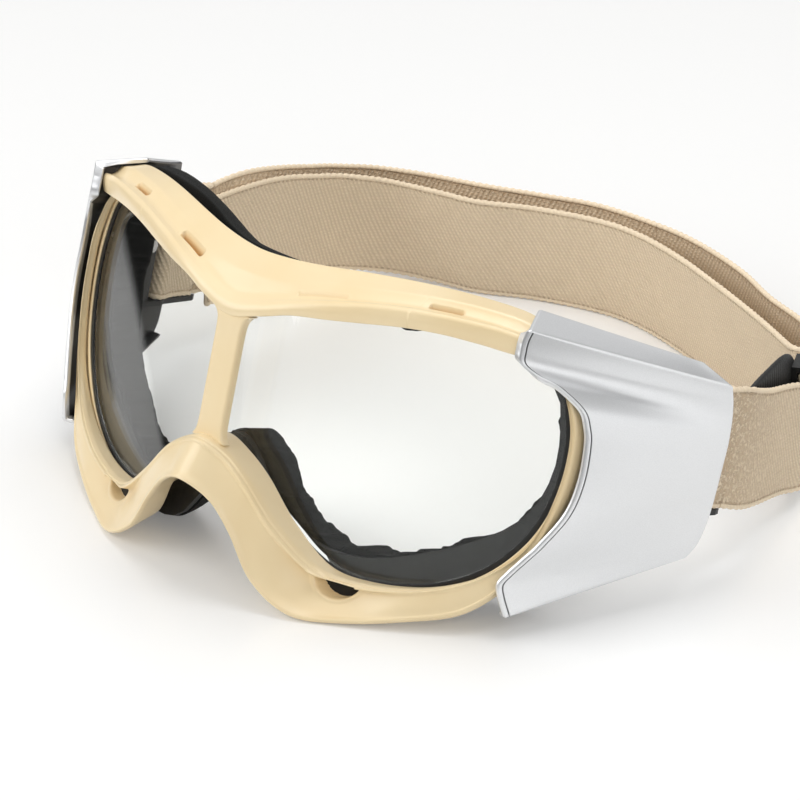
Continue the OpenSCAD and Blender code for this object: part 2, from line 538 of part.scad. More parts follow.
inner_path = [for (i = [0:inner_n]) curve(inner_spots, i / inner_n)];
function flare(y) = lerp(strap_end_w, strap_w, max(0, min(1, (y - 92) / 45)));

module strap_outer() color(beige) lying() ribbon(outer_path, [for (p = outer_path) flare(p[1])], strap_t);
module strap_inner() color(beige) lying() ribbon(inner_path, [for (p = inner_path) flare(p[1])], strap_t);

// Slider: a moulded loop round both layers of the strap
slider_in_w = layer_step + strap_t + 3 * gap;
slider_in_h = strap_w + 4 * gap;
module strap_slider() color(black) lying() translate(slider_spot(0, layer_step / 2))
    rotate([0, 0, atan2(slider_way[1], slider_way[0]) - 90]) rotate([90, 0, 0]) linear_extrude(slider_l, center = true)
    difference() {
        square([slider_in_w + 2 * slider_wall, slider_in_h + 2 * slider_wall], center = true);
        square([slider_in_w, slider_in_h], center = true);
    }

// Ribbed pad on the slider's inner side, reaching forward inside the strap.
// Each point is x, y and height, with the pad's width there beside it.
pad_seat = layer_step / 2 + slider_in_w / 2 + slider_wall + 0.05 + pad_t / 2;
pad_spots = [slider_spot(4, pad_seat) + [0, 0, 1], slider_spot(-4, pad_seat) + [0, 0, 5.4], [92.2, 128.5, 28.2],
    [95.2, 119.5, 29.2], [97.6, 109, 30], [99.2, 99.5, 31]];
pad_widths = [30, 33.4, 34.2, 33.6, 30, 20];
pad_n = 20;
pad_path = [for (i = [0:pad_n]) curve(pad_spots, i / pad_n)];
function level(p) = [p[0], p[1], 0];
module slider_pad() color(black) lying() skin([for (k = [0:pad_n])
    let (d = path_dir([for (p = pad_path) level(p)], k), n = pad_t / 2 * cross(d, [0, 0, 1]),
        h = [0, 0, curve(pad_widths, k / pad_n) / 2], p = pad_path[k]) [p + h + n, p + h - n, p - h - n, p - h + n]]);

brow_bar();
lower_frame();
centre_post();
lens();
lens_seal();
lens_rim();
foam_carrier();
face_foam();
lobe_vent_filter();
hinge_lug(-1);  // hinge_lug_left
hinge_lug(1);  // hinge_lug_right
hinge_pin(-1);  // hinge_pin_left
hinge_pin(1);  // hinge_pin_right
side_cover(-1);  // side_cover_left
side_cover(1);  // side_cover_right
cover_bracket(-1);  // cover_bracket_left
cover_bracket(1);  // cover_bracket_right
cover_screws(-1);  // cover_screws_left
cover_screws(1);  // cover_screws_right
strap_bar(-1);  // strap_bar_left
strap_bar(1);  // strap_bar_right
strap_end(-1);  // strap_end_left
strap_end(1);  // strap_end_right
strap_outer();
strap_inner();
strap_slider();
slider_pad();
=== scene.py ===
# %% [markdown]
# # Sports goggles, dressed for the camera
# The solids of these goggles already exist and are loaded as a fixed frame. This lesson builds the
# finished surfaces over them: a moulded front, a wrapped lens, a foam face seal, two metal side covers
# and an elastic strap. Every surface is worked out with numpy as a grid of points, because a moulded
# part is easy to say as a section carried along a path and hard to push about by hand.

# %% Load the frame
import math
import bmesh
import bpy
import numpy as np
from mathutils import Matrix, Vector


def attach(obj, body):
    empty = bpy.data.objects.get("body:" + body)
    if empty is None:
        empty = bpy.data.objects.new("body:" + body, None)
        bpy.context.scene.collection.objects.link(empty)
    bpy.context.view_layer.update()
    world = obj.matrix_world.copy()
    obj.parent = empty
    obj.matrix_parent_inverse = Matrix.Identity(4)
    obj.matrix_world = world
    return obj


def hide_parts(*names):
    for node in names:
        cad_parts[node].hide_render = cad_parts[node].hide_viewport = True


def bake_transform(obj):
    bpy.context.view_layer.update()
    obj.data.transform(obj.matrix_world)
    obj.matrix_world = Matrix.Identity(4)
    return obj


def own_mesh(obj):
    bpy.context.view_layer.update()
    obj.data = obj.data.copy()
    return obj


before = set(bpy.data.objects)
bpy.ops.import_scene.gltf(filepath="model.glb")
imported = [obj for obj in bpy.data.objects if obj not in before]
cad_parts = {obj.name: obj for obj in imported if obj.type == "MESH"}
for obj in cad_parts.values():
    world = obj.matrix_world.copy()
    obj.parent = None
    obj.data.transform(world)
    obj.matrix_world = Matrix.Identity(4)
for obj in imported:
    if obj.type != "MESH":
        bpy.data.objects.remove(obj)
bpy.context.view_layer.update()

# %% [markdown]
# ## One upright drawing, one lying object
# The front is easiest to think of standing upright: x sideways, y back into the face, z up along the
# centre post. On the floor it leans back by 18 degrees on its two lobes. `lie` turns upright points, in
# millimetres, into the place where they lie, in metres. `floor_mm` does the same for the strap, whose
# points are already where they lie.

# %% Measures and places
LEAN = math.radians(18)
SEAT = 56.5029
MIDDLE = 89.05
WRAP, WRAP_ROUND = 0.465, 30.0


def lie(p):
    """Upright millimetres to metres as it lies: a turn by LEAN about x, then up by SEAT and forward by MIDDLE."""
    p = np.asarray(p, float)
    y = p[..., 1] * math.cos(LEAN) + p[..., 2] * math.sin(LEAN) - MIDDLE
    z = -p[..., 1] * math.sin(LEAN) + p[..., 2] * math.cos(LEAN) + SEAT
    return np.stack([p[..., 0], y, z], -1) / 1000


def floor_mm(p):
    """Lying millimetres to metres in the part's own frame."""
    return (np.asarray(p, float) - [0, MIDDLE, 0]) / 1000


def wrap(x):
    """How far back the wrapped front lies at x: a hyperbola, round at the nose and straight at the temples."""
    return WRAP * (np.sqrt(x * x + WRAP_ROUND ** 2) - WRAP_ROUND)


def on_wrap(x, z, off):
    """Points at x and z that lie off millimetres behind the wrap surface."""
    return np.stack([x, wrap(x) + off, z], -1)


# %% [markdown]
# ## Curves through a few chosen points
# A moulded edge is a smooth curve through points that a designer picks. A Catmull-Rom curve passes
# through every one of them, so the numbers stay readable. The whole curve is evaluated at once: the four
# neighbours of every sample are looked up as arrays.

# %% Curve helpers
def catmull(a, b, c, d, t):
    """Catmull-Rom from b to c at t from 0 to 1, with the neighbours a and d."""
    return 0.5 * (2 * b + (c - a) * t + (2 * a - 5 * b + 4 * c - d) * t ** 2 + (3 * b - a - 3 * c + d) * t ** 3)


def arc(start, corner, end, t):
    """Quadratic arc from start to end that leans towards corner, at t from 0 to 1."""
    return (1 - t) ** 2 * start + 2 * t * (1 - t) * corner + t ** 2 * end


def curve(points, u, mirrored=None):
    """Catmull-Rom through points at u from 0 to 1. Where the row starts at x = 0 its mirror image comes first."""
    p = np.asarray(points, float)
    flat = p.ndim == 1
    p = p.reshape(len(p), -1)
    if mirrored is None:
        mirrored = flat or p[0, 0] == 0
    sign = np.ones(p.shape[1])
    if not flat:
        sign[0] = -1
    first = p[1] * sign if mirrored else 2 * p[0] - p[1]
    q = np.vstack([first, p, 2 * p[-1] - p[-2]])
    s = np.clip(np.asarray(u, float) * (len(p) - 1), 0, len(p) - 1 - 1e-9)
    k = np.floor(s).astype(int)
    t = (s - k)[..., None]
    out = catmull(q[k], q[k + 1], q[k + 2], q[k + 3], t)
    return out[..., 0] if flat else out


def unit(v):
    """Vectors of length 1 along v."""
    return v / np.maximum(np.linalg.norm(v, axis=-1, keepdims=True), 1e-12)


def smooth(x, lo, hi):
    """0 below lo, 1 above hi, and a soft S between them."""
    t = np.clip((x - lo) / (hi - lo), 0, 1)
    return t * t * (3 - 2 * t)


def rounded(corners, cuts, n=5):
    """Each section's polygon with its corners rounded: a quadratic arc that starts cuts[k] before corner k."""
    corners = np.asarray(corners, float)
    cut = np.asarray(cuts, float)[:, None]

    def toward(other):
        d = other - corners
        length = np.linalg.norm(d, axis=-1, keepdims=True)
        return corners + d / np.maximum(length, 1e-9) * np.minimum(cut, 0.46 * length)

    a, b = toward(np.roll(corners, 1, axis=1)), toward(np.roll(corners, -1, axis=1))
    t = np.linspace(0, 1, n)[:, None]
    rounds = arc(a[:, :, None], corners[:, :, None], b[:, :, None], t)
    return rounds.reshape(len(corners), -1, corners.shape[-1])


def shares(rings, step):
    """How many pieces each side of the sections is cut into, so that none is longer than about step."""
    length = np.linalg.norm(np.roll(rings, -1, axis=1) - rings, axis=-1).mean(0)
    return np.maximum(1, np.ceil(length / step)).astype(int)


def dense(rings, step):
    """The same closed sections with more points, shared out alike on every section."""
    nxt = np.roll(rings, -1, axis=1)
    out = [rings[:, k] + (nxt[:, k] - rings[:, k]) * (i / n)
           for k, n in enumerate(shares(rings, step)) for i in range(n)]
    return np.stack(out, 1)


def edge_round(from_edge, radius=0.8):
    """Share of the full thickness near an edge: a quarter circle of that radius."""
    return np.sqrt(np.clip(1 - np.clip(1 - from_edge / radius, 0, 1) ** 2, 0, 1))


# %% [markdown]
# ## From a grid of points to a mesh
# One builder serves every piece. It takes a grid of points, joins neighbours into faces, closes the grid
# round its section and over its ends where asked, and recalculates the normals so that they point
# outwards. Extra numbers, such as the place along a strap, ride along as a UV map that materials read.

# %% Mesh builder
def grid_faces(m, n, across, along):
    """Quads of an m by n grid, closed across its second direction and along its first where asked."""
    i = np.arange(m if along else m - 1)[:, None]
    j = np.arange(n if across else n - 1)[None, :]
    a, b = i * n + j, i * n + (j + 1) % n
    c, d = ((i + 1) % m) * n + (j + 1) % n, ((i + 1) % m) * n + j
    return np.stack([a, b, c, d], -1).reshape(-1, 4)


def make_piece(name, verts, faces, uv=None, angle=None):
    """A mesh object from metres, with outward normals, smooth shading and an optional UV value for each vertex."""
    mesh = bpy.data.meshes.new(name)
    mesh.from_pydata(np.asarray(verts).tolist(), [], [tuple(int(k) for k in f if k >= 0) for f in faces])
    bm = bmesh.new()
    bm.from_mesh(mesh)
    bmesh.ops.recalc_face_normals(bm, faces=bm.faces)
    if bm.calc_volume(signed=True) < 0:
        bmesh.ops.reverse_faces(bm, faces=bm.faces)
    bm.to_mesh(mesh)
    bm.free()
    if uv is not None:
        loops = np.empty(len(mesh.loops), np.int32)
        mesh.loops.foreach_get("vertex_index", loops)
        layer = mesh.uv_layers.new(name="place")
        layer.data.foreach_set("uv", np.asarray(uv, np.float32)[loops].ravel())
    mesh.shade_smooth()
    if angle is not None:
        mesh.set_sharp_from_angle(angle=math.radians(angle))
    piece = bpy.data.objects.new(name, mesh)
    bpy.context.scene.collection.objects.link(piece)
    return piece


def tube(name, rings, ends="fan", uv=None, angle=None):
    """Closed skin over closed sections: ends are fans to the middle of the first and last section, or 'joined'."""
    m, n = rings.shape[:2]
    verts = rings.reshape(-1, 3)
    faces = grid_faces(m, n, True, ends == "joined")
    if ends == "fan":
        verts = np.vstack([verts, rings[0].mean(0), rings[-1].mean(0)])
        j = np.arange(n)
        nothing, last = np.full(n, -1), (m - 1) * n
        faces = np.vstack([faces, np.stack([np.full(n, m * n), (j + 1) % n, j, nothing], -1),
                           np.stack([np.full(n, m * n + 1), last + j, last + (j + 1) % n, nothing], -1)])
        if uv is not None:
            uv = np.vstack([uv, uv[:n].mean(0), uv[-n:].mean(0)])
    piece = make_piece(name, verts, faces, uv, angle)
    print(f"{name}: {len(verts)} points, {len(faces)} faces")
    return piece


def shell(name, outer, inner, angle=None, uv=None):
    """Closed wall between an outer and an inner grid of the same size, joined all round their borders."""
    m, n = outer.shape[:2]
    a = grid_faces(m, n, False, False)
    h = m * n
    rim = np.concatenate([np.arange(n), np.arange(1, m) * n + n - 1, (m - 1) * n + np.arange(n - 2, -1, -1),
                          np.arange(m - 2, 0, -1) * n])
    nxt = np.roll(rim, -1)
    faces = np.vstack([a, a[:, ::-1] + h, np.stack([rim, rim + h, nxt + h, nxt], -1)])
    if uv is not None:
        uv = np.vstack([uv.reshape(-1, 2), uv.reshape(-1, 2) + [0, 1000]])  # the inner skin's rows start at 1000
    piece = make_piece(name, np.vstack([outer.reshape(-1, 3), inner.reshape(-1, 3)]), faces, uv, angle)
    print(f"{name}: {2 * h} points, {len(faces)} faces")
    return piece


def grid_normals(g):
    """Normal at each point of a grid, from its neighbours along both directions."""
    return unit(np.cross(np.gradient(g, axis=0), np.gradient(g, axis=1)))


# %% [markdown]
# ## The camera
# The photograph is taken with a long lens from the front right of the object and a little above it, with
# the camera tilted sideways by about 11 degrees. The camera was solved against the upright drawing, so it
# is turned by the same lean as the front.

# %% Camera
AZIMUTH, RISE, TILT = math.radians(39.865), math.radians(13.553), math.radians(11.414)
FOCAL_PX, DISTANCE, SHIFT_RIGHT, SHIFT_DOWN = 4470.46, 1226.38, 48.563, 5.846
PICTURE_PX, SENSOR_MM = 800, 36


def photo_camera():
    """Place and axes of the camera: from azimuth, rise and tilt, moved so that the front sits off its centre."""
    sa, ca, se, ce = math.sin(AZIMUTH), math.cos(AZIMUTH), math.sin(RISE), math.cos(RISE)
    back, right = np.array([sa * ce, -ca * ce, se]), np.array([ca, sa, 0])
    up = np.cross(back, right)
    s, c = math.sin(TILT), math.cos(TILT)
    axes = np.array([c * right + s * up, -s * right + c * up, back])
    place = axes.T @ np.array([SHIFT_RIGHT, -SHIFT_DOWN, DISTANCE])
    lying_axes = [(lie(a) - lie([0, 0, 0])) * 1000 for a in axes]
    return lie(place), np.array(lying_axes).T


def make_camera():
    """A camera whose lens gives FOCAL_PX pixels of focal length on a frame PICTURE_PX wide."""
    data = bpy.data.cameras.new("camera")
    data.sensor_width, data.lens = SENSOR_MM, FOCAL_PX / PICTURE_PX * SENSOR_MM
    data.clip_start, data.clip_end = 0.01, 100
    camera = bpy.data.objects.new("camera", data)
    bpy.context.scene.collection.objects.link(camera)
    place, axes = photo_camera()
    matrix = np.eye(4)
    matrix[:3, :3], matrix[:3, 3] = axes, place
    camera.matrix_world = Matrix(matrix.tolist())
    bpy.context.scene.camera = camera
    print("camera at", np.round(place, 3))


make_camera()

# %% [markdown]
# ## Finishes as small node trees
# Each finish is one Principled shader. Noise in its colour, roughness and bump gives it the detail of a
# real surface at real size: millimetres on the object, so patterns read Object coordinates times 1000.
# Values that are the same everywhere are set straight on the shader's sockets.

# %% Finish helper
class Nodes:
    """Short calls that add and join the nodes of one tree."""

    def __init__(self, tree):
        self.tree = tree

    def add(self, kind, **values):
        node = self.tree.nodes.new(kind)
        for key, value in values.items():
            setattr(node, key, value)
        return node

    def join(self, socket, value):
        if hasattr(value, "is_linked"):
            self.tree.links.new(value, socket)
        else:
            socket.default_value = value

    def math(self, operation, a, b=0.0, c=0.0, vector=False, clamp=False):
        """One Math node, or one Vector Math node, on sockets or plain numbers."""
        node = self.add("ShaderNodeVectorMath" if vector else "ShaderNodeMath", operation=operation)
        if vector and operation == "SCALE":
            self.join(node.inputs[0], a)
            self.join(node.inputs["Scale"], b)
            return node.outputs[0]
        if not vector:
            node.use_clamp = clamp
        for socket, value in zip(node.inputs, (a, b, c)):
            self.join(socket, value)
        return node.outputs[0]

    def times(self, first, *others):
        """Product of sockets or plain numbers."""
        for other in others:
            first = self.math("MULTIPLY", first, other)
        return first

    def rest(self, value):
        """1 less value."""
        return self.math("SUBTRACT", 1.0, value)

    def noise(self, scale, detail=2.0, where=None, rough=0.5):
        """Noise from 0 to 1, with scale in bumps to the millimetre."""
        node = self.add("ShaderNodeTexNoise")
        self.join(node.inputs["Vector"], self.mm if where is None else where)
        node.inputs["Scale"].default_value = scale
        node.inputs["Detail"].default_value = detail
        node.inputs["Roughness"].default_value = rough
        return node.outputs["Fac"]

    def ramp(self, value, stops):
        """Colours by value: stops are (place, colour)."""
        node = self.add("ShaderNodeValToRGB")
        self.join(node.inputs["Fac"], value)
        while len(node.color_ramp.elements) < len(stops):
            node.color_ramp.elements.new(0.5)
        for element, (where, colour) in zip(node.color_ramp.elements, stops):
            element.position = where
            element.color = (*colour, 1) if len(colour) == 3 else colour
        return node.outputs["Color"]

    def span(self, value, lo, hi, to_lo, to_hi):
        """value from lo to hi mapped to to_lo to to_hi, clamped."""
        node = self.add("ShaderNodeMapRange")
        for socket, v in zip(node.inputs, (value, lo, hi, to_lo, to_hi)):
            self.join(socket, v)
        return node.outputs[0]

    def mix(self, factor, a, b):
        """Colour mix of a and b."""
        node = self.add("ShaderNodeMix", data_type="RGBA")
        self.join(node.inputs["Factor"], factor)
        for socket, v in ((node.inputs[6], a), (node.inputs[7], b)):
            self.join(socket, v if hasattr(v, "is_linked") else (*v, 1))
        return node.outputs[2]

    def bump(self, height, depth_mm, strength=1.0, under=None):
        """Bump whose height of 1 stands for depth_mm; under is a bump that it lies on."""
        node = self.add("ShaderNodeBump")
        node.inputs["Strength"].default_value = strength
        node.inputs["Distance"].default_value = depth_mm / 1000
        self.join(node.inputs["Height"], height)
        if under is not None:
            self.join(node.inputs["Normal"], under)
        return node.outputs["Normal"]

    def mix_shader(self, share, under, over):
        """Shader that goes from under to over as share goes from 0 to 1."""
        node = self.add("ShaderNodeMixShader")
        for socket, value in zip(node.inputs, (share, under, over)):
            self.join(socket, value)
        return node.outputs[0]


class Finish(Nodes):
    """A material with one Principled shader; mm is the object's own place in millimetres."""

    def __init__(self, name, colour, rough, metal=0.0, **sockets):
        self.material = bpy.data.materials.new(name)
        self.material.use_nodes = True
        self.tree = self.material.node_tree
        self.shader = self.tree.nodes["Principled BSDF"]
        self.shader.inputs["Base Color"].default_value = (*colour, 1)
        self.shader.inputs["Roughness"].default_value = rough
        self.shader.inputs["Metallic"].default_value = metal
        for key, value in sockets.items():
            self.shader.inputs[key.replace("_", " ")].default_value = value
        self.mm = self.math("SCALE", self.add("ShaderNodeTexCoord").outputs["Object"], 1000.0, vector=True)

    def sunk(self):
        """Share of painted shade stored on a mesh: up to 1 in a slot's recess, 0 elsewhere and on meshes without
        it.
        """
        return self.add("ShaderNodeAttribute", attribute_name="sunk").outputs["Fac"]

    def put(self, **links):
        """Joins values or sockets to the shader's own sockets."""
        for key, value in links.items():
            self.join(self.shader.inputs[key.replace("_", " ")], value)

    def surface(self, shader):
        """Makes shader what the material ends in."""
        self.join(self.tree.nodes["Material Output"].inputs["Surface"], shader)


def mark_painted_shade(piece, values):
    """Stores how far into a recess each point is, for a finish that paints shade there; caps get 0."""
    layer = piece.data.attributes.new("sunk", "FLOAT", "POINT")
    all_values = np.zeros(len(piece.data.vertices), np.float32)
    all_values[:values.size] = values.ravel()
    layer.data.foreach_set("value", all_values)


def refinish(finish, *names):
    """Gives solids that are shown as they are a finish."""
    for name in names:
        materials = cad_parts[name].data.materials
        materials.clear()
        materials.append(finish.material)


def dress(piece, finish, body, slot, *nodes):
    """Gives a piece its finish and its body, and hides the solids that it stands for; slot is not used."""
    piece.data.materials.clear()
    piece.data.materials.append(finish.material)
    if body:
        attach(piece, body)
    if nodes:
        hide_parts(*nodes)
    return piece


# %% [markdown]
# ## Cream moulded plastic
# The front is injection moulded in a warm ivory. The surface has a soft gloss
# with a very fine orange peel, and the colour drifts slightly over the part.

# %% Cream plastic
cream = Finish("cream_plastic", (0.90, 0.73, 0.455), 0.34, Coat_Weight=0.3, Coat_Roughness=0.14, IOR=1.5)
drift = cream.noise(0.045, 3)
grain = cream.noise(1.6, 2)
cream_base = cream.ramp(drift, [(0.3, (0.885, 0.705, 0.42)), (0.7, (0.915, 0.75, 0.475))])
# painted shade: where the mesh's sunk value is high, in the brow's slots, the cream turns a dark tan that stands in
# for the shadow inside them
cream.put(Base_Color=cream.mix(cream.sunk(), cream_base, (0.60, 0.34, 0.12)),
          Roughness=cream.span(cream.noise(0.35, 3), 0.3, 0.7, 0.29, 0.38),
          Normal=cream.bump(grain, 0.012, 0.6))
print("finish:", cream.material.name)

# %% [markdown]
# ## The brow bar
# The brow is a channel: a narrow front face, a lip, a wide floor that dips a little, and a step up to a
# thin rear flange. Its section changes along the bar, so four guide curves are drawn through chosen points
# (side position x, height z, distance behind the wrap), and the section is hung between them. Corners are
# rounded, because a moulding has no knife edges and the rounds catch the light as fine bright lines.

# %% Brow bar
BROW_LOW = [[0, 18.4, -2.9], [10, 20.8, -3.2], [20, 24, -3.4], [30, 25.7, -3.3], [40, 27.5, -3.1],
            [50, 29.3, -3], [60, 30.3, -2.7], [70, 30.3, -2], [76, 30, -1.6], [82, 29.8, -1.4]]
BROW_LIP = [[0, 22.4, -3.3], [10, 24.4, -3.5], [20, 27.6, -3.7], [30, 30.5, -3.7], [40, 32.8, -3.7],
            [50, 34.5, -3.6], [60, 35.5, -3.5], [70, 35.9, -3.3], [76, 35.8, -3.1], [82, 35.2, -3]]
BROW_RIDGE = [[0, 30.8, 2.8], [10, 31.4, 3], [20, 32.9, 3], [30, 34.6, 3], [40, 36.2, 3],
              [50, 37.7, 3.2], [60, 38.6, 3.4], [70, 38.7, 3.4], [76, 38.3, 3.4], [82, 37, 3.4]]
BROW_REAR = [[0, 36.6, 7.4], [10, 36.9, 8.2], [20, 37.9, 8.4], [30, 39.2, 8.4], [40, 40.2, 8.8],
             [50, 40.8, 9.3], [60, 40.9, 9.8], [70, 40.5, 10], [76, 39.6, 9.8], [82, 37.2, 9.4]]
# Each slot: side position, height, distance behind the wrap, length, width, depth
BROW_SLOTS = [(-60.5, 37.6, 1.3, 9.6, 1.7, 2.4), (-25.2, 32.2, 0.9, 13.2, 1.7, 2.6),
              (25.5, 32.2, 0.8, 15.0, 1.1, 0.4), (58.5, 37.4, 1.2, 10.0, 1.45, 2.2)]
BROW_WALL = 3.4
ROUND_POINTS = 6
FINE_STEP, WIDE_STEP = 0.19, 0.7


def brow_stations():
    """Side positions along the brow, close together where the slots are and wider elsewhere."""
    parts = [np.arange(0, 16, 0.6), np.arange(16, 33.4, 0.17), np.arange(33.4, 52, 0.6),
             np.arange(52, 65.2, 0.17), np.arange(65.2, 82, 0.6), [82.0]]
    half = np.concatenate(parts)
    return np.concatenate([-half[:0:-1], half])


def brow_rings():
    """Sections of the brow: thirteen corners in height and depth between the four guides, then rounded."""
    x = brow_stations()
    rows = {}
    for key, guide in (("l", BROW_LOW), ("p", BROW_LIP), ("r", BROW_RIDGE), ("e", BROW_REAR)):
        u = np.interp(np.abs(x), curve(guide, np.linspace(0, 1, 400))[:, 0], np.linspace(0, 1, 400))
        rows[key] = curve(guide, u)[:, 1:]
    l, p, r, e = rows["l"], rows["p"], rows["r"], rows["e"]
    c = (p + r) / 2
    w = BROW_WALL
    section = [l, (l + p) / 2 + [0, -0.5], p + [-0.5, 0], p + [0.45, 0.8], c + [-1.15, 0.3], r + [-0.75, -0.9],
               r + [0.55, 0.15], e, e + [-1.4, 0.7], r + [-w, 0.9],
               np.stack([c[:, 0] - w + 0.3, c[:, 1] + 1.2], -1), np.stack([p[:, 0] - w, l[:, 1] + 2.6], -1),
               l + [0.3, 2]]
    corners = np.stack(section, 1)
    rings = rounded(corners, [0.6, 3, 0.55, 0.6, 4, 1.2, 0.7, 0.5, 0.7, 1.5, 2, 1.2, 0.8], ROUND_POINTS)
    top = np.zeros(rings.shape[1], bool)
    top[3 * ROUND_POINTS - 3:7 * ROUND_POINTS] = True
    step = np.where(top & np.roll(top, -1), FINE_STEP, WIDE_STEP)
    q = dense(rings, step)
    flags = np.repeat(top, shares(rings, step))
    return on_wrap(np.broadcast_to(x[:, None], q.shape[:2]), q[..., 0], q[..., 1]), flags


def stadium(p, spot, length, width):
    """Signed distance, seen from above, to a slot with round ends that runs along the wrap at spot."""
    slope = wrap(spot[0] + 0.5) - wrap(spot[0] - 0.5)
    t, n = unit(np.array([1, slope])), unit(np.array([-slope, 1]))
    dx, dy = p[..., 0] - spot[0], p[..., 1] - (wrap(spot[0]) + spot[2])
    along, over = dx * t[0] + dy * t[1], dx * n[0] + dy * n[1]
    reach = np.maximum(np.abs(along) - (length - width) / 2, 0)
    return np.hypot(reach, over) - width / 2


def make_brow():
    """The brow with its slots sunk in: inside each slot's outline the channel's skin drops by the slot's depth."""
    rings, top = brow_rings()
    drop, inside = np.zeros(rings.shape[:2]), np.zeros(rings.shape[:2])
    for sx, sz, sy, length, width, depth in BROW_SLOTS:
        d = stadium(rings, (sx, sz, sy), length, width)
        drop = np.maximum(drop, (1 - smooth(d, -0.42, 0.1)) * depth)
        # inside is the share of painted shade in each slot: up to 1, less for a shallow slot
        inside = np.maximum(inside, (1 - smooth(d, -0.45, -0.05)) * min(1.0, depth / 2))
    rings = rings + (drop * top)[..., None] * np.array([0, 0.12, -0.99])
    piece = tube("brow_bar_moulding", lie(rings))
    mark_painted_shade(piece, inside * top)
    return dress(piece, cream, "frame", "frame_plastic", "brow_bar")


make_brow()

# %% [markdown]
# ## The lower frame
# One piece runs from temple to temple: down the cheek, round the lobe that the goggles stand on, up over
# the nose and back. Two guides say where the lens opening's edge and the outer edge are, and a section of
# fifteen corners is stretched between them. The lobe has a scoop, which is the same section pressed
# inwards, and a half-moon vent whose flat side lies against the rim above it.

# %% Lower frame
OPENING = [[0, -16, -4.5], [8, -18.6, -2.6], [16, -24, -2.2], [26, -34, -0.9], [38, -42.6, 1],
           [50, -43.6, 1.6], [64, -40.8, 2.2], [76, -35, 3.2], [85, -27, 4.5], [90.4, -18, 5], [93.3, -5, 5],
           [94, 6, 5], [92.8, 15, 5], [89, 24, 5], [84, 29, 5]]
OUTER = [[0, -28.6, -10.5], [9, -32, -7.7], [16, -39.5, -5.8], [24, -51, -4.4], [36, -57, -4.2],
         [49, -55.4, -2.6], [64, -50.5, -0.6], [77, -44.5, 2], [85.8, -33.6, 4.5], [90.9, -21.8, 5], [95, -7, 5],
         [96, 6, 5], [94.8, 15.6, 5], [90.2, 23.8, 5], [85.6, 29.8, 5]]
SKIRT = [8, 8, 9, 11, 12, 11.5, 10.5, 9, 6.3, 5.6, 6, 6.3, 6, 5, 4]
SCOOP, RELIEF = 3.6, math.radians(2)
LENS_BACK, LENS_T, SEAL_W, RIM_W, RIM_T = 8.5, 2.0, 1.6, 1.7, 3.8
FASCIA_BACK = LENS_BACK - 1.1
VENT_X, VENT_TOP, VENT_L, VENT_H, VENT_FLOOR = 43.3, -44.9, 12.5, 5.0, 6.7


def scoop(x):
    """Depth of the lobe's scoop at x: a sine hill, steeper on its nose side."""
    inside = (x > 24) & (x < 67)
    t = np.clip((x - 24) / 43, 0, 1)
    return np.where(inside, SCOOP * np.sin(np.pi * t ** 0.8) ** 2, 0)


def frame_rings(count=420, step=0.42):
    """Sections of the lower frame at count places a side, each between the opening's edge and the outer edge."""
    u = np.abs(np.linspace(-1, 1, 2 * count + 1))
    side = np.where(np.linspace(-1, 1, 2 * count + 1) < 0, -1, 1)[:, None, None]
    i, o, depth = curve(OPENING, u), curve(OUTER, u), curve(SKIRT, u)[:, None]
    ip, op = on_wrap(i[:, 0], i[:, 1], i[:, 2]), on_wrap(o[:, 0], o[:, 1], o[:, 2])
    e, b = unit(ip - op), np.array([0, 1.0, 0])
    s = scoop(i[:, 0])[:, None]

    def between(t, back):
        return op + (ip - op) * t + back * b

    k = op + (ip - op) * 0.52
    back_in = np.stack([ip[:, 0], wrap(ip[:, 0]) + FASCIA_BACK, ip[:, 2]], -1)
    back_mid = np.stack([k[:, 0], np.minimum(wrap(k[:, 0]) + FASCIA_BACK, k[:, 1] + depth[:, 0]), k[:, 2]], -1)
    foot = op + depth * np.array([0, 1, math.tan(LEAN + RELIEF)])
    corners = np.stack([op + 1.2 * b, op + 0.6 * e - 0.25 * b, op + 1.5 * e - 0.3 * b, between(0.2, 0.3 * s + 0.05),
                        between(0.42, 0.75 * s - 0.2), between(0.66, s - 0.2), between(0.825, 0.9 * s - 0.1),
                        between(0.865, -0.7), between(0.915, -0.75), between(0.935, 0.1), ip - 0.45 * e + 0.1 * b,
                        ip + 1.3 * b, back_in, back_mid, foot], 1)
    rings = rounded(corners, [0.6, 0.6, 0.5, 1.2, 3, 2.5, 1.0, 0.4, 0.35, 0.25, 0.35, 0.6, 0.5, 0.5, 0.5], 5)
    rings = dense(rings, step)
    return rings * np.where(side < 0, [-1, 1, 1], [1, 1, 1])


def half_moon(x, z):
    """Signed distance to the vent: a disc's lower part, cut off flat along its top."""
    radius = (VENT_L ** 2 / 4 + VENT_H ** 2) / (2 * VENT_H)
    disc = np.hypot(np.abs(x) - VENT_X, z - (VENT_TOP + radius - VENT_H)) - radius
    return np.maximum(disc, z - VENT_TOP)


def make_lower_frame():
    """The lower frame; inside the vent's outline the front skin goes back to VENT_FLOOR behind the wrap."""
    rings = frame_rings()
    d = half_moon(rings[..., 0], rings[..., 2])
    floor = wrap(rings[..., 0]) + VENT_FLOOR
    front = rings[..., 1] < floor - 2
    push = (1 - smooth(d, -0.7, 0.05)) * np.maximum(floor - rings[..., 1], 0) * front
    lip = 0.4 * np.exp(-((d - 0.6) / 0.4) ** 2) * front
    rings = rings + (push - lip)[..., None] * np.array([0, 1.0, 0])
    piece = tube("lower_frame_moulding", lie(rings))
    return dress(piece, cream, "frame", "frame_plastic", "lower_frame")


make_lower_frame()

# %% [markdown]
# ## The centre post
# The post is a slim bar with rounded front corners that spreads out a little where it grows out of the
# brow above and the nose arch below.

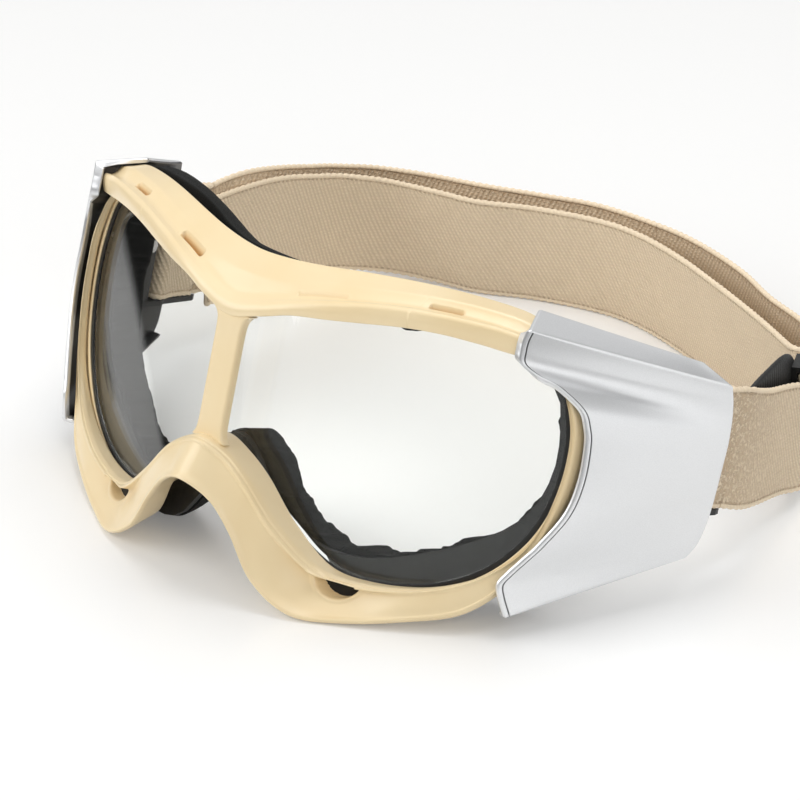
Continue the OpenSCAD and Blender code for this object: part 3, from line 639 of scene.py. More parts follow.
# %% Centre post
def make_post():
    """A rounded bar carried straight up; its half width grows near both ends like a fillet."""
    z = np.concatenate([np.linspace(-17.2, -12, 26), np.linspace(-11.5, 14, 52), np.linspace(14.4, 19.6, 26)])
    wide = 4.8 + 1.7 * np.exp(-(z + 17.2) / 1.4) + 2.6 * np.exp((z - 19.6) / 1.3)
    deep = 2.6 + 0.9 * np.exp((z - 19.6) / 1.6)
    shape = np.array([[-1, 0], [1, 0], [1, 1], [-1, 1]])
    corners = np.stack([shape[:, 0][None] * wide[:, None], -2 + 0.25 * np.exp(-(z + 17.2) / 2)[:, None]
                        + shape[:, 1][None] * deep[:, None]], -1)
    rings = dense(rounded(corners, [1.1, 1.1, 0.4, 0.4], 6), 0.8)
    rings = np.concatenate([rings, np.broadcast_to(z[:, None, None], (*rings.shape[:2], 1))], -1)
    return dress(tube("centre_post_moulding", lie(rings)), cream, "frame", "frame_plastic", "centre_post")


make_post()

# %% [markdown]
# ## The lens
# One polished sheet wraps across both eyes. Its front is the wrap surface moved back, trimmed to an
# outline. A plain grid over the outline, with more columns near the temples, gives exact smooth
# reflections, which a boxy mesh could never do.

# %% Lens outline
LENS_HALF = [[0, -18.6], [8, -21.2], [13, -25.5], [19, -30.7], [26, -35.6], [33, -40.4], [41, -43.4],
             [52, -43.2], [65, -39.4], [76.5, -31.8], [85, -20.8], [89.4, -9], [90.8, 3], [89.6, 14],
             [85.5, 24.5], [76, 31], [60, 33.2], [40, 32.2], [20, 29.8], [9, 28.4], [0, 27.8]]


def closed_outline(half, n):
    """A half outline from x = 0 round to x = 0 and its mirror image, as one closed Catmull-Rom ring."""
    half = np.asarray(half, float)
    other = half[-2:0:-1] * [-1, 1]
    ring = np.vstack([half, other])
    m = len(ring)
    t = (np.arange(n) / n)[None, :, None]
    return catmull(*(np.roll(ring, s, axis=0)[:, None, :] for s in (1, 0, -1, -2)), t).reshape(m * n, 2)


def grow(ring, d):
    """A flat ring moved outwards by d along its own normals."""
    t = unit(np.roll(ring, -1, axis=0) - np.roll(ring, 1, axis=0))
    return ring + d * np.stack([t[:, 1], -t[:, 0]], -1)


LENS_RING = closed_outline(LENS_HALF, 14)


def lens_grid(count=240, rows=64):
    """Points over the outline: x eased towards the temples, z shared out between the low and the high edge."""
    half = LENS_RING[:len(LENS_HALF) * 14 - 13]
    turn = int(np.argmax(half[:, 0]))
    low, high = half[:turn + 1], half[turn:][::-1]
    edge = half[turn, 0]
    s = np.linspace(-1, 1, count)
    x = edge * np.sin(s * math.pi / 2)
    z0 = np.interp(np.abs(x), low[:, 0], low[:, 1])
    z1 = np.interp(np.abs(x), high[:, 0], high[:, 1])
    t = np.linspace(0, 1, rows)
    z = z0[:, None] + (z1 - z0)[:, None] * t
    return np.broadcast_to(x[:, None], z.shape), z


def make_lens(finish):
    """Two sheets LENS_T apart, joined round the edge."""
    x, z = lens_grid()
    front = on_wrap(x, z, LENS_BACK)
    back = on_wrap(x, z, LENS_BACK + LENS_T)
    piece = shell("lens_sheet", lie(front), lie(back), angle=50)
    return dress(piece, finish, "frame", "lens_sheet", "lens")


# %% [markdown]
# The lens is clear, so it is mostly transmission with a stronger reflection at grazing angles. Its index is
# 1.4, lower than real polycarbonate's, so that reflections don't veil the foam. A shadow ray is let straight
# through, as through real clear plastic, so the foam behind the lens isn't left in the dark.

# %% Lens finish
lens_finish = Finish("clear_lens", (0.952, 0.965, 0.948), 0.0, IOR=1.4, Transmission_Weight=1.0)
let_through = lens_finish.add("ShaderNodeBsdfTransparent")
let_through.inputs["Color"].default_value = (0.95, 0.955, 0.95, 1)
is_shadow = lens_finish.add("ShaderNodeLightPath").outputs["Is Shadow Ray"]
lens_finish.surface(lens_finish.mix_shader(is_shadow, lens_finish.shader.outputs[0], let_through.outputs[0]))
smear = lens_finish.noise(0.03, 2)
lens_finish.put(Roughness=lens_finish.span(smear, 0.35, 0.75, 0.0, 0.02))
make_lens(lens_finish)

# %% [markdown]
# ## Seal and rim round the lens
# A thin black seal grips the lens edge, and a moulded rim stands round the seal. Both are a small rounded
# section carried along the lens outline.

# %% Seal and rim
def band(name, inside, outside, front, back, cut, angle=None):
    """A rounded box section carried round the lens outline, from inside to outside and from front to back."""
    rows = []
    for off in (inside, outside):
        r = grow(LENS_RING, off)
        rows.append((on_wrap(r[:, 0], r[:, 1], front), on_wrap(r[:, 0], r[:, 1], back)))
    corners = np.stack([rows[0][0], rows[1][0], rows[1][1], rows[0][1]], 1)
    return tube(name, lie(rounded(corners, [cut] * 4, 4)), ends="joined", angle=angle)


rubber = Finish("black_seal_rubber", (0.012, 0.012, 0.012), 0.55)
rubber.put(Roughness=rubber.span(rubber.noise(0.8, 3), 0.3, 0.7, 0.48, 0.62),
           Base_Color=rubber.ramp(rubber.noise(0.5), [(0.3, (0.010, 0.010, 0.010)), (0.8, (0.018, 0.018, 0.017))]),
           Normal=rubber.bump(rubber.noise(6), 0.01, 0.5))
dress(band("lens_seal_bead", 0.05, SEAL_W, LENS_BACK - 0.4, LENS_BACK + LENS_T + 0.4, 0.35),
      rubber, "frame", "seal_rubber", "lens_seal")
dress(band("lens_rim_moulding", SEAL_W + 0.05, SEAL_W + RIM_W, LENS_BACK - 0.8, LENS_BACK - 0.8 + RIM_T, 0.45),
      cream, "frame", "frame_plastic", "lens_rim")

# %% [markdown]
# ## The face foam
# Soft charcoal foam rings both eyes. Its outer side carries a thin knitted skin, and its inner edge looks
# cut by hand: it wanders in and out in little steps. The ring is a section of seven corners between
# three guides, rounded, with a wavy inner edge made from a few sines and small bites.

# %% Face foam
FOAM_OUTER = [[0, -27.5], [7, -31.5], [13, -40], [21, -48], [33, -50.5], [48, -49.5], [64, -45.5], [79, -37],
              [87.5, -24], [90, -8], [90, 10], [88.5, 25], [78, 35], [58, 37.4], [38, 37], [18, 35.4], [0, 34.5]]
FOAM_FACE = [[0, -23.5], [7, -27.5], [13, -35.5], [21, -43.3], [33, -45.8], [48, -44.8], [64, -40.8],
             [78.5, -33], [87, -20.5], [89.5, -6], [89.5, 10], [87.5, 24], [78, 34.4], [58, 35.4], [38, 33],
             [18, 31.6], [0, 32.6]]
FOAM_INNER = [[0, -15], [7, -18.5], [14, -27], [22, -34.5], [33, -38.5], [45, -37.5], [57, -32.5],
              [70, -25.2], [81.5, -15], [86, -3], [86, 9], [82.5, 21], [70, 28], [54, 28], [38, 26], [18, 23.2],
              [0, 21.5]]
FOAM_SWELL, FOAM_SLANT = 3.2, 2.5
FOAM_FRONT, FOAM_T, FOAM_CROWN = LENS_BACK - 0.8 + RIM_T + 2.4, 13.0, 1.2


def foam_edge(u, side):
    """How far the inner edge wanders at u: slow waves, plus bites with steep sides, as a knife leaves them."""
    waves = ((0.55, 9, 0.05 * side), (0.4, 14.3, 0.2 + 0.3 * side), (0.18, 41, 0.4 * side), (0.1, 77, 0.1))
    wave = sum(size * np.sin(2 * np.pi * (turns * u + shift)) for size, turns, shift in waves)
    rng = np.random.default_rng(7 + (side > 0))
    spots, sizes, halves = rng.uniform(0.05, 0.95, 13), rng.uniform(-0.9, 1.1, 13), rng.uniform(0.008, 0.022, 13)
    for spot, size, half in zip(spots, sizes, halves):
        wave += size * (1 - smooth(np.abs(u - spot), half * 0.72, half))
    return wave * np.minimum(1, 12 * u * (1 - u))


def foam_half(side, count=520):
    """Sections of one side of the foam, from the nose round the cheek to the brow."""
    u = np.linspace(0, 1, count)
    o, b, q = curve(FOAM_OUTER, u), curve(FOAM_FACE, u), curve(FOAM_INNER, u)
    if side < 0:
        swell = FOAM_SWELL * smooth(o[:, 0], 14, 44) * (1 - smooth(o[:, 0], 84, 89)) * (o[:, 1] > 20)
        o[:, 1], b[:, 1] = o[:, 1] + swell, b[:, 1] + swell
    away = unit(o - q)
    i = q + away * foam_edge(u, side)[:, None]
    front, back = FOAM_FRONT, FOAM_FRONT + FOAM_T
    nick = 0.3 * np.sin(2 * np.pi * 23 * u)[:, None] * away
    face_in = i + (b - i) * 0.08 - away * (FOAM_SLANT * smooth(q[:, 0], 60, 82))[:, None]
    spots = [(i, front), ((i + face_in) / 2 + nick, front + FOAM_T * 0.45), (face_in, back - FOAM_CROWN),
             (face_in + (b - face_in) * 0.5, back), (face_in + (b - face_in) * 0.92, back - FOAM_CROWN),
             (o + (b - o) * 0.45 + away * 0.4, front + FOAM_T * 0.45), (o, front)]
    corners = np.stack([on_wrap(p[:, 0], p[:, 1], off) for p, off in spots], 1)
    return rounded(corners, [0.7, 4, 2, 4, 2, 4, 0.7], 5) * [side, 1, 1]


def make_foam(finish):
    """Both sides joined into one ring round the eyes."""
    right, left = foam_half(1), foam_half(-1)
    rings = dense(np.concatenate([right, left[-2:0:-1]]), 1.1)
    piece = tube("face_foam_ring", lie(rings), ends="joined")
    return dress(piece, finish, "frame", "foam", "face_foam")


foam = Finish("charcoal_foam", (0.008, 0.008, 0.0075), 0.95, Sheen_Weight=0.03, Sheen_Roughness=0.5)
foam.shader.inputs["Specular IOR Level"].default_value = 0.2
cells = foam.noise(3.2, 3, rough=0.65)
blotch = foam.noise(0.18, 3)
speck = foam.span(cells, 0.62, 0.8, 0.0, 0.3)
foam_tones = [(0.3, (0.005, 0.005, 0.0047)), (0.75, (0.011, 0.0113, 0.0104))]
foam.put(Base_Color=foam.mix(speck, foam.ramp(blotch, foam_tones), (0.022, 0.0225, 0.0215)),
         Normal=foam.bump(cells, 0.35, 0.9))
make_foam(foam)

# %% [markdown]
# ## Small black pieces
# The plate that carries the foam, the hinge lugs, the brackets and the slider's loop are taken as plain
# glass filled nylon: dark, a little uneven in gloss, with a fine texture from the mould. The pins, screws
# and bars are brushed steel. The photograph shows none of them, so these are the solids as they are.

# %% Black moulded pieces
nylon = Finish("black_nylon", (0.014, 0.014, 0.014), 0.5)
nylon.put(Base_Color=nylon.ramp(nylon.noise(0.4, 3), [(0.3, (0.011, 0.011, 0.011)), (0.8, (0.022, 0.022, 0.021))]),
          Roughness=nylon.span(nylon.noise(2.5, 2), 0.3, 0.7, 0.42, 0.6),
          Normal=nylon.bump(nylon.noise(5, 2), 0.02, 0.7))
steel = Finish("brushed_pin_steel", (0.52, 0.52, 0.53), 0.3, 1.0)
streak = steel.add("ShaderNodeMapping")
streak.inputs["Scale"].default_value = (1, 1, 0.06)
steel.join(streak.inputs["Vector"], steel.mm)
lines = steel.noise(6, 3, where=streak.outputs[0])
steel.put(Roughness=steel.span(lines, 0.3, 0.7, 0.22, 0.4), Normal=steel.bump(lines, 0.01, 0.5))
refinish(nylon, "foam_carrier", "hinge_lug_left", "hinge_lug_right", "cover_bracket_left", "cover_bracket_right",
         "strap_slider")
refinish(steel, "hinge_pin_left", "hinge_pin_right", "cover_screws_left", "cover_screws_right", "strap_bar_left",
         "strap_bar_right")
print("black and steel pieces dressed")

# %% [markdown]
# ## Mesh behind the lobe vents
# The photograph shows the vents as dark openings. A half-moon of fine black mesh is assumed to close each
# from inside. Its solid is already in place at the bottom of the hole, so it only needs a finish: a weave
# of wires in its colour and bump.

# %% Vent mesh
vent_mesh = Finish("vent_mesh", (0.008, 0.008, 0.008), 0.7)
wires = vent_mesh.add("ShaderNodeTexWave", wave_profile="SIN", bands_direction="DIAGONAL")
vent_mesh.join(wires.inputs["Vector"], vent_mesh.mm)
wires.inputs["Scale"].default_value = 1.2
mesh_tones = [(0.2, (0.004, 0.004, 0.004)), (0.9, (0.02, 0.02, 0.02))]
vent_mesh.put(Base_Color=vent_mesh.ramp(wires.outputs["Fac"], mesh_tones),
              Normal=vent_mesh.bump(wires.outputs["Fac"], 0.15, 0.8))
refinish(vent_mesh, "lobe_vent_filter")
print("vent mesh dressed")

# %% [markdown]
# ## The side covers
# Each cover is a pressed sheet of satin silver metal. Its side runs from a curved front edge to a rear
# edge, with a flange folded over the top and a narrow return folded in along the bottom. Every row of the
# grid runs from front to rear, and the rows follow the two edge curves down. The folds are rounded, the
# front edge has a bright rounded rim and a fine groove behind it, and the wall goes inwards.

# %% Cover grid
COVER_FRONT = [[84.3, 21.5, 38.6], [83.7, 21, 35.6], [83.6, 20.9, 32.6], [84, 21.2, 29.6], [86.9, 24.1, 27.2],
               [91.4, 28.7, 25], [96.7, 34, 20], [98.6, 35.9, 15], [99.4, 36.7, 10], [99.7, 36.8, 0],
               [98.1, 35.8, -10], [93.7, 32.8, -20], [90.9, 30.8, -25], [88, 28.8, -30], [86.7, 27.9, -33],
               [87.1, 29, -36.5], [88.4, 31.6, -42]]
COVER_REAR = [[109, 83, 27.6], [109.1, 83.6, 25.6], [109.3, 84.2, 23.6], [109.4, 84.7, 21.6], [109.5, 85.2, 19.2],
              [109.6, 85.5, 16.6], [109.6, 85.8, 14], [109.6, 86, 11.2], [109.5, 86, 8], [109.3, 86, 3],
              [109.1, 86, -2], [108.8, 86, -7], [108.5, 85.8, -11], [108.1, 85.3, -15], [107.6, 84.5, -18.4],
              [107, 83.2, -20.8], [106.4, 81.8, -22.6]]
FLANGE = np.array([[76.1, 34.3, 41.7], [102.9, 75.6, 33]])
RETURN = np.array([[84.8, 33.6, -42.4], [102.8, 83, -22.8]])
COVER_WALL, COVER_BULGE = 1.5, 0.8
LIP_SIDE, LIP_TOP = 2.9, 1.6
FOLD = 0.012
GROOVE_AT, GROOVE_ROWS = 1.62, 13.5
INSIDE_ROWS = 1000


def cover_rows():
    """Front and rear end of every row, and its bulge: flange, rounded fold, side, rounded fold, return."""
    u = np.linspace(FOLD, 1 - FOLD, 150)
    front, rear = curve(COVER_FRONT, u), curve(COVER_REAR, u)
    ends = []
    for edge, guide in ((0, COVER_FRONT), (1, COVER_REAR)):
        top, low = curve(guide, np.array([0.0]))[0], curve(guide, np.array([1.0]))[0]
        side = front if edge == 0 else rear
        near_top = top + unit(FLANGE[edge] - top) * 0.9
        near_low = low + unit(RETURN[edge] - low) * 0.8
        t = np.linspace(0, 1, 9)[:-1, None]
        over = arc(near_top, top, side[0], t)
        t = np.linspace(0, 1, 9)[1:, None]
        under = arc(side[-1], low, near_low, t)
        k = np.array([0, 0.02, 0.05, 0.1, 0.3, 0.6])[:, None]
        flange = FLANGE[edge] + (near_top - FLANGE[edge]) * k
        k = np.array([0.4, 0.7, 0.85, 1.0])[:, None]
        back = near_low + (RETURN[edge] - near_low) * k
        ends.append(np.vstack([flange, over, side, under, back]))
    n_top, n_low = 14, 12
    bulge = np.concatenate([np.zeros(n_top), COVER_BULGE * np.minimum(1, 8 * u * (1 - u)), np.zeros(n_low)])
    on_side = np.concatenate([np.linspace(0, 0.8, n_top) ** 4, np.ones(len(u)), np.linspace(0.8, 0, n_low) ** 4])
    return ends[0], ends[1], bulge, on_side


def cover_grid():
    """Outer and inner grid of the right cover, upright, in millimetres."""
    front, rear, bulge, on_side = cover_rows()
    length = np.linalg.norm(rear - front, axis=1)[:, None]
    near = np.array([0, 0.12, 0.3, 0.5, 0.75, 1.0, 1.2, 1.38, 1.5, 1.62, 1.74, 1.88, 2.1, 2.5, 3.2, 4.4, 6])
    far = np.array([3, 1.8, 1.0, 0.6, 0.3, 0.12, 0])
    middle = np.linspace(0, 1, 34)[1:-1] * (length - 9) + 6
    s = np.hstack([np.broadcast_to(near, (len(front), len(near))), middle, length - far])
    u = (s / length)[..., None]
    out_way = np.array([0.93, -0.37, 0])
    g = front[:, None] + (rear - front)[:, None] * u + (bulge[:, None, None] * 4 * u * (1 - u)) * out_way
    normal = grid_normals(g)
    if (normal @ out_way).mean() < 0:
        normal = -normal
    rim = 0.5 * np.clip(1 - s / 0.8, 0, 1) ** 2 + 0.35 * np.clip(1 - (length - s) / 0.6, 0, 1) ** 2
    groove = 0.32 * np.exp(-((s - GROOVE_AT) / 0.15) ** 2) * on_side[:, None]
    hem = np.zeros(len(front))
    hem[:3], hem[-2:] = [0.4, 0.12, 0.02], [0.1, 0.35]
    sink = (rim + groove + hem[:, None])[..., None] * normal
    inner = g - normal * (COVER_WALL - 0.6 * (rim + hem[:, None])[..., None])
    rolled = rolled_edge(front, g)
    share = (smooth(front[:, 2], 26.0, 29.0)[:, None] * (1 - smooth(s, 0.9, 2.4)))[..., None]
    place = np.stack([s, np.broadcast_to(np.arange(len(front))[:, None], s.shape)], -1)
    return g - sink, inner + (rolled - inner) * share, place


def rolled_edge(front, g):
    """Inner side of the rolled front edge: LIP_SIDE in from the side, LIP_TOP down from the flange, mitred."""
    corner = np.array(COVER_FRONT[0], float)
    down = np.where(front[:, 2] <= corner[2], np.clip(LIP_TOP - (corner[2] - front[:, 2]), 0, LIP_TOP), LIP_TOP)
    from_corner = np.linalg.norm(front - corner, axis=1) * (front[:, 2] > corner[2])
    across = LIP_SIDE * np.clip(1 - from_corner / LIP_SIDE, 0, 1)
    shift = across[:, None] * np.array([-0.93, 0.37, 0]) + down[:, None] * np.array([0, 0, -1.0])
    return g + shift[:, None]


# %% [markdown]
# The metal is a painted or anodised satin silver with a fine even grain. A metallic shader with medium
# roughness spreads reflections softly, and tiny noise in bump and roughness makes the grain. The map holds
# the distance behind the front edge and the number of the row, which place two marks of painted shade: a
# dark line in the groove, and a black, unmetallic inside skin that stands in for the shade between cover and frame.

# %% Satin silver
silver = Finish("satin_silver", (0.74, 0.755, 0.775), 0.33, 1.0)
grit = silver.noise(7.5, 2, rough=0.6)
silver_place = silver.add("ShaderNodeSeparateXYZ")
silver.join(silver_place.inputs[0], silver.add("ShaderNodeUVMap", uv_map="place").outputs[0])
back_from_edge, row = silver_place.outputs[0], silver_place.outputs[1]
from_groove = silver.math("ABSOLUTE", silver.math("SUBTRACT", back_from_edge, GROOVE_AT))
outside = silver.math("LESS_THAN", row, INSIDE_ROWS / 2)
below_fold = silver.math("GREATER_THAN", row, GROOVE_ROWS)
# painted shade: the dark line in the groove and the black, unmetallic inside skin stand in for the shadow there
groove_shade = silver.times(silver.span(from_groove, 0.1, 0.3, 0.8, 0.0), outside, below_fold)
inside_shade = silver.times(silver.rest(outside), silver.span(back_from_edge, 1.6, 2.4, 0.0, 1.0))
speckle = silver.ramp(silver.noise(4.5, 2), [(0.3, (0.78, 0.79, 0.80)), (0.7, (0.85, 0.858, 0.868))])
silver.put(Roughness=silver.span(grit, 0.3, 0.7, 0.37, 0.47),
           Metallic=silver.math("MULTIPLY_ADD", inside_shade, -0.88, 0.88),
           Base_Color=silver.mix(inside_shade, silver.mix(groove_shade, speckle, (0.10, 0.10, 0.105)), (0.012, 0.012, 0.012)),
           Normal=silver.bump(grit, 0.012, 0.7))

# %% [markdown]
# ## Covers and their bosses
# The right cover's grid is mirrored for the left one. A small pale mark inside the left cover in the
# photograph is read as the end of a post, so each cover gets two short posts on its bracket. That reading
# is a guess, like the bracket itself.

# %% Covers and their bosses
HINGE = np.array([94.8, float(wrap(94.8)) + 14.9])
BRACKET_TURN = math.radians(15)
SIDES = ((-1, "left"), (1, "right"))


def from_bracket(p, side):
    """Bracket drawing (across, along, up) to upright millimetres: a turn by -15 degrees about the hinge line."""
    p = np.asarray(p, float)
    c, s = math.cos(-BRACKET_TURN), math.sin(-BRACKET_TURN)
    x = p[..., 0] * c - p[..., 1] * s + HINGE[0]
    y = p[..., 0] * s + p[..., 1] * c + HINGE[1]
    return np.stack([x * side, y, p[..., 2]], -1)


def boss(name, along, up, reach, side):
    """A short post with a flared root, turned about its own axis: radius over length, 36 round."""
    t = np.array([0, 0, 0.25, 0.6, 0.8, 0.92, 1.0])
    r = np.array([1.2, 1.9, 2.1, 2.1, 2.3, 2.7, 3.3])
    a = np.linspace(0, 2 * math.pi, 37)[:-1]
    x = 1.27 + t * (reach - 1.27)
    ring = np.stack([np.broadcast_to(x[:, None], (7, 36)), along + r[:, None] * np.cos(a),
                     up + r[:, None] * np.sin(a)], -1)
    return tube(name, lie(from_bracket(ring, side)), angle=40)


outer_grid, inner_grid, cover_place = cover_grid()
for side, word in SIDES:
    flip = np.array([side, 1, 1])
    cover = shell(f"side_cover_{word}_shell", lie(outer_grid * flip), lie(inner_grid * flip), 38, cover_place)
    dress(cover, silver, f"cover_{word}", "cover_metal", f"side_cover_{word}")
    for number, (along, up, reach) in enumerate(((11, 1, 5.5), (20, 8, 4.9)), 1):
        dress(boss(f"cover_boss_{word}_{number}", along, up, reach, side), nylon, f"cover_{word}", "cover_metal")

# %% [markdown]
# ## The strap
# The elastic webbing starts as a loop round a bar inside each cover, runs back, lies down on its lower
# edge and goes round behind. A second layer lies inside it. The photograph shows the strap only up to its
# right edge; the loops, the slider and the run beyond are guessed. Each layer is modelled directly: the path is a
# curve through chosen points, walked in even steps, and the section is a flat strip with a thicker hem and
# round edges. Its UV map holds the place along the strap and across it, in millimetres, for the weave.

# %% Strap paths
STRAP_T, STRAP_W, STRAP_END_W, STRAP_MID, LOW = 1.5, 32.0, 35.0, 8.0, 16.05
WIDE_UNTIL, NARROWS_OVER = 92, 45
BAR_SPOT, END_TURN = np.array([-1.1, 30.0]), math.radians(7)
SLIDER = np.array([91, 143.2, 19.6])
SLIDER_WAY = unit(np.array([-0.488, 0.873]))
SLIDER_SIDE = np.array([-SLIDER_WAY[1], SLIDER_WAY[0]])
LAYER_STEP = STRAP_T + 0.35


def leaned(p):
    """Upright millimetres to lying millimetres, with y as the strap's points have it."""
    return lie(p) * 1000 + [0, MIDDLE, 0]


def end_place(local, side):
    """Points (across, along) of the strap end's own drawing, turned about the bar, as lying millimetres."""
    c, s = math.cos(END_TURN), math.sin(END_TURN)
    local = np.asarray(local, float)
    x, y = local[:, 0] * c - local[:, 1] * s + BAR_SPOT[0], local[:, 0] * s + local[:, 1] * c + BAR_SPOT[1]
    return leaned(from_bracket(np.stack([x, y, np.full(len(x), STRAP_MID)], -1), side))


def slider_spot(along, inward):
    """A point beside the slider's middle, along the strap and towards its inside."""
    xy = along * SLIDER_WAY + inward * SLIDER_SIDE
    return SLIDER + np.array([xy[0], xy[1], 0])


def walk(points, step):
    """Points an even step apart along a polyline, and the place along it of each."""
    gone = np.concatenate([[0], np.cumsum(np.linalg.norm(np.diff(points, axis=0), axis=1))])
    s = np.linspace(0, gone[-1], max(2, int(round(gone[-1] / step)) + 1))
    return np.stack([np.interp(s, gone, points[:, k]) for k in range(3)], -1), s


def strap_loop(side):
    """The strap's end: a sewn tail, half a turn round the bar, and the start of the run to the back."""
    a = np.radians(np.linspace(178, 362, 15))
    turn = np.stack([2.36 * np.cos(a), 2.36 * np.sin(a)], -1)
    tail = np.array([[-0.78, 15.2], [-0.78, 11], [-0.8, 7], [-1.4, 3.2]])
    run = np.array([[1.4, 3.2], [0.8, 7], [0.78, 11], [0.6, 14.5], [0.15, 18]])
    local = np.vstack([tail, turn, run])
    return end_place(curve(local, np.linspace(0, 1, 260), mirrored=False), side)


right_lead = end_place([[0, 19.8]], 1)[0]
left_lead = right_lead * [-1, 1, 1]
OUTER_SPOTS = [right_lead, [103.6, 100, 31.2], [101.4, 109, 27.4], [98.7, 122, 23.7],
               slider_spot(-12.5, 0) + [0, 0, 0.6], slider_spot(-8.5, 0), slider_spot(-4.5, 0),
               slider_spot(-0.5, 0), slider_spot(3.5, 0), slider_spot(7.5, 0), slider_spot(11.5, 0) - [0, 0, 0.3],
               [79.5, 160.5, LOW + 2], [66, 171, LOW + 0.6], [47, 178.5, LOW],
               [29, 187, LOW], [7, 193.5, LOW], [-11, 195.5, LOW], [-34, 194.5, LOW], [-52, 189, LOW],
               [-72, 182, LOW], [-90, 175.5, LOW + 0.6], [-102, 165.5, LOW + 2.6], [-107, 152, 22],
               [-107.6, 138, 26.2], [-107, 124, 30.2], [-105.8, 110, 33.4], [-105.3, 100, 34], left_lead]
INNER_SPOTS = [[-102, 91, 31.2], [-102.7, 98, 30.6], [-103.8, 110, 29.6], [-104.4, 123, 27.8],
               [-104, 137, 24.4], [-101.5, 151, 20.6],
               [-93, 162.5, LOW + 1.6], [-79, 168.5, LOW + 0.4], [-65, 172, LOW], [-48, 180, LOW], [-27, 186, LOW],
               [-11, 186.4, LOW], [9, 182, LOW], [32, 174, LOW], [50, 167, LOW], [63, 161, LOW + 0.4],
               [75, 154.6, LOW + 1.4], slider_spot(11.5, LAYER_STEP + 1.5) - [0, 0, 0.4],
               slider_spot(7.5, LAYER_STEP), slider_spot(3.5, LAYER_STEP),
               slider_spot(-0.5, LAYER_STEP), slider_spot(-4.5, LAYER_STEP)]


def strap_width(y):
    """Webbing width: STRAP_END_W at the covers, narrowing to STRAP_W further back."""
    return STRAP_END_W + (STRAP_W - STRAP_END_W) * np.clip((y - WIDE_UNTIL) / NARROWS_OVER, 0, 1)


# %% [markdown]
# The strip itself is one grid: places along the path by places across the webbing. The two layers are
# laid along their paths in steps of half a millimetre, and the outer one is cut in two behind the head,
# with one end at each cover.

# %% Webbing along a path
HEM, STITCH = 1.5, 2.3
MAP_HALF, MAP_INSIDE = 16.5, 200


def strip_section():
    """Places across the webbing from -1 to 1, with points close together at the hems."""
    edge = np.array([0, 0.02, 0.06, 0.12, 0.2, 0.32, 0.5, 0.7, 0.9, 1.15, 1.4, 1.7, 2.0, 2.3, 2.6, 2.9, 3.4])
    edge = edge / MAP_HALF
    return np.concatenate([-1 + edge, np.linspace(-0.76, 0.76, 17), (1 - edge)[::-1]])


def webbing(name, path, along, ups):
    """A strip of webbing: width across `ups`, thickness across both; hems swell with the overlock's stitches."""
    d = unit(np.gradient(path, axis=0))
    ups = unit(ups - (ups * d).sum(-1, keepdims=True) * d)
    n = np.cross(d, ups)
    half = strap_width(path[:, 1])[:, None] / 2
    v = strip_section()[None, :]
    s = along[:, None]
    from_edge = (1 - np.abs(v)) * half
    hem = 1 - smooth(from_edge, HEM - 0.7, HEM)
    beat = np.sin(2 * np.pi * (s / STITCH + np.sign(v) * from_edge / 5.5))
    thick = STRAP_T / 2 * (0.86 + hem * (0.2 + 0.09 * beat)) - 0.12 * np.exp(-((from_edge - HEM) / 0.22) ** 2)
    thick = thick * edge_round(from_edge)
    scallop = 0.16 * np.sin(2 * np.pi * s / STITCH) * np.sign(v) * (1 - smooth(from_edge, 0, 1.6))
    across = v * half + scallop
    front = path[:, None] + ups[:, None] * across[..., None] + n[:, None] * thick[..., None]
    back = path[:, None] + ups[:, None] * across[..., None] - n[:, None] * thick[..., None]
    rings = np.concatenate([front, back[:, ::-1]], 1)
    uv_front = np.stack(np.broadcast_arrays(s, v * MAP_HALF), -1)
    uv_back = np.stack(np.broadcast_arrays(s, v * MAP_HALF - MAP_INSIDE), -1)[:, ::-1]
    uv = np.concatenate([uv_front, uv_back], 1).reshape(-1, 2)
    return tube(name, floor_mm(rings), uv=uv)


def outer_layer():
    """Path of the whole outer layer from one bar to the other, and the upright direction of the webbing on it."""
    middle = curve(OUTER_SPOTS, np.linspace(0, 1, 1500), mirrored=False)
    right, left = strap_loop(1), strap_loop(-1)[::-1]
    path, s = walk(np.vstack([right, middle, left]), 0.5)
    d = unit(np.gradient(path, axis=0))
    level = np.array([0, 0, 1.0])
    ups = unit(level - d * d[:, 2:])
    leaning = np.array([0, math.sin(LEAN), math.cos(LEAN)])
    reach = np.linalg.norm(np.diff(right, axis=0), axis=1).sum()
    near_end = 1 - smooth(np.minimum(s, s[-1] - s), reach, reach + 12)
    return path, s, unit(ups + (leaning - ups) * near_end[:, None])


def smooth_rows(a, times):
    """Rows averaged with their neighbours a few times, ends held."""
    for _ in range(times):
        a = np.vstack([a[:1], (a[:-2] + 2 * a[1:-1] + a[2:]) / 4, a[-1:]])
    return a


path, along, ups = outer_layer()
path, ups = smooth_rows(path, 6), smooth_rows(ups, 20)
half_way = int(np.argmin(np.abs(path[:, 0] + 11) + 100 * (path[:, 1] < 150)))
strap_right = webbing("strap_webbing_right", path[:half_way + 1], along[:half_way + 1], ups[:half_way + 1])
strap_left = webbing("strap_webbing_left", path[half_way:], along[half_way:], ups[half_way:])
inner_path, inner_s = walk(curve(INNER_SPOTS, np.linspace(0, 1, 1200), mirrored=False), 0.5)
inner_path = smooth_rows(inner_path, 6)
inner_d = unit(np.gradient(inner_path, axis=0))
inner_ups = unit(np.array([0, 0, 1.0]) - inner_d * inner_d[:, 2:])
strap_in = webbing("strap_webbing_inner", inner_path, inner_s, inner_ups)
print("outer layer", round(along[-1]), "mm, inner layer", round(inner_s[-1]), "mm")
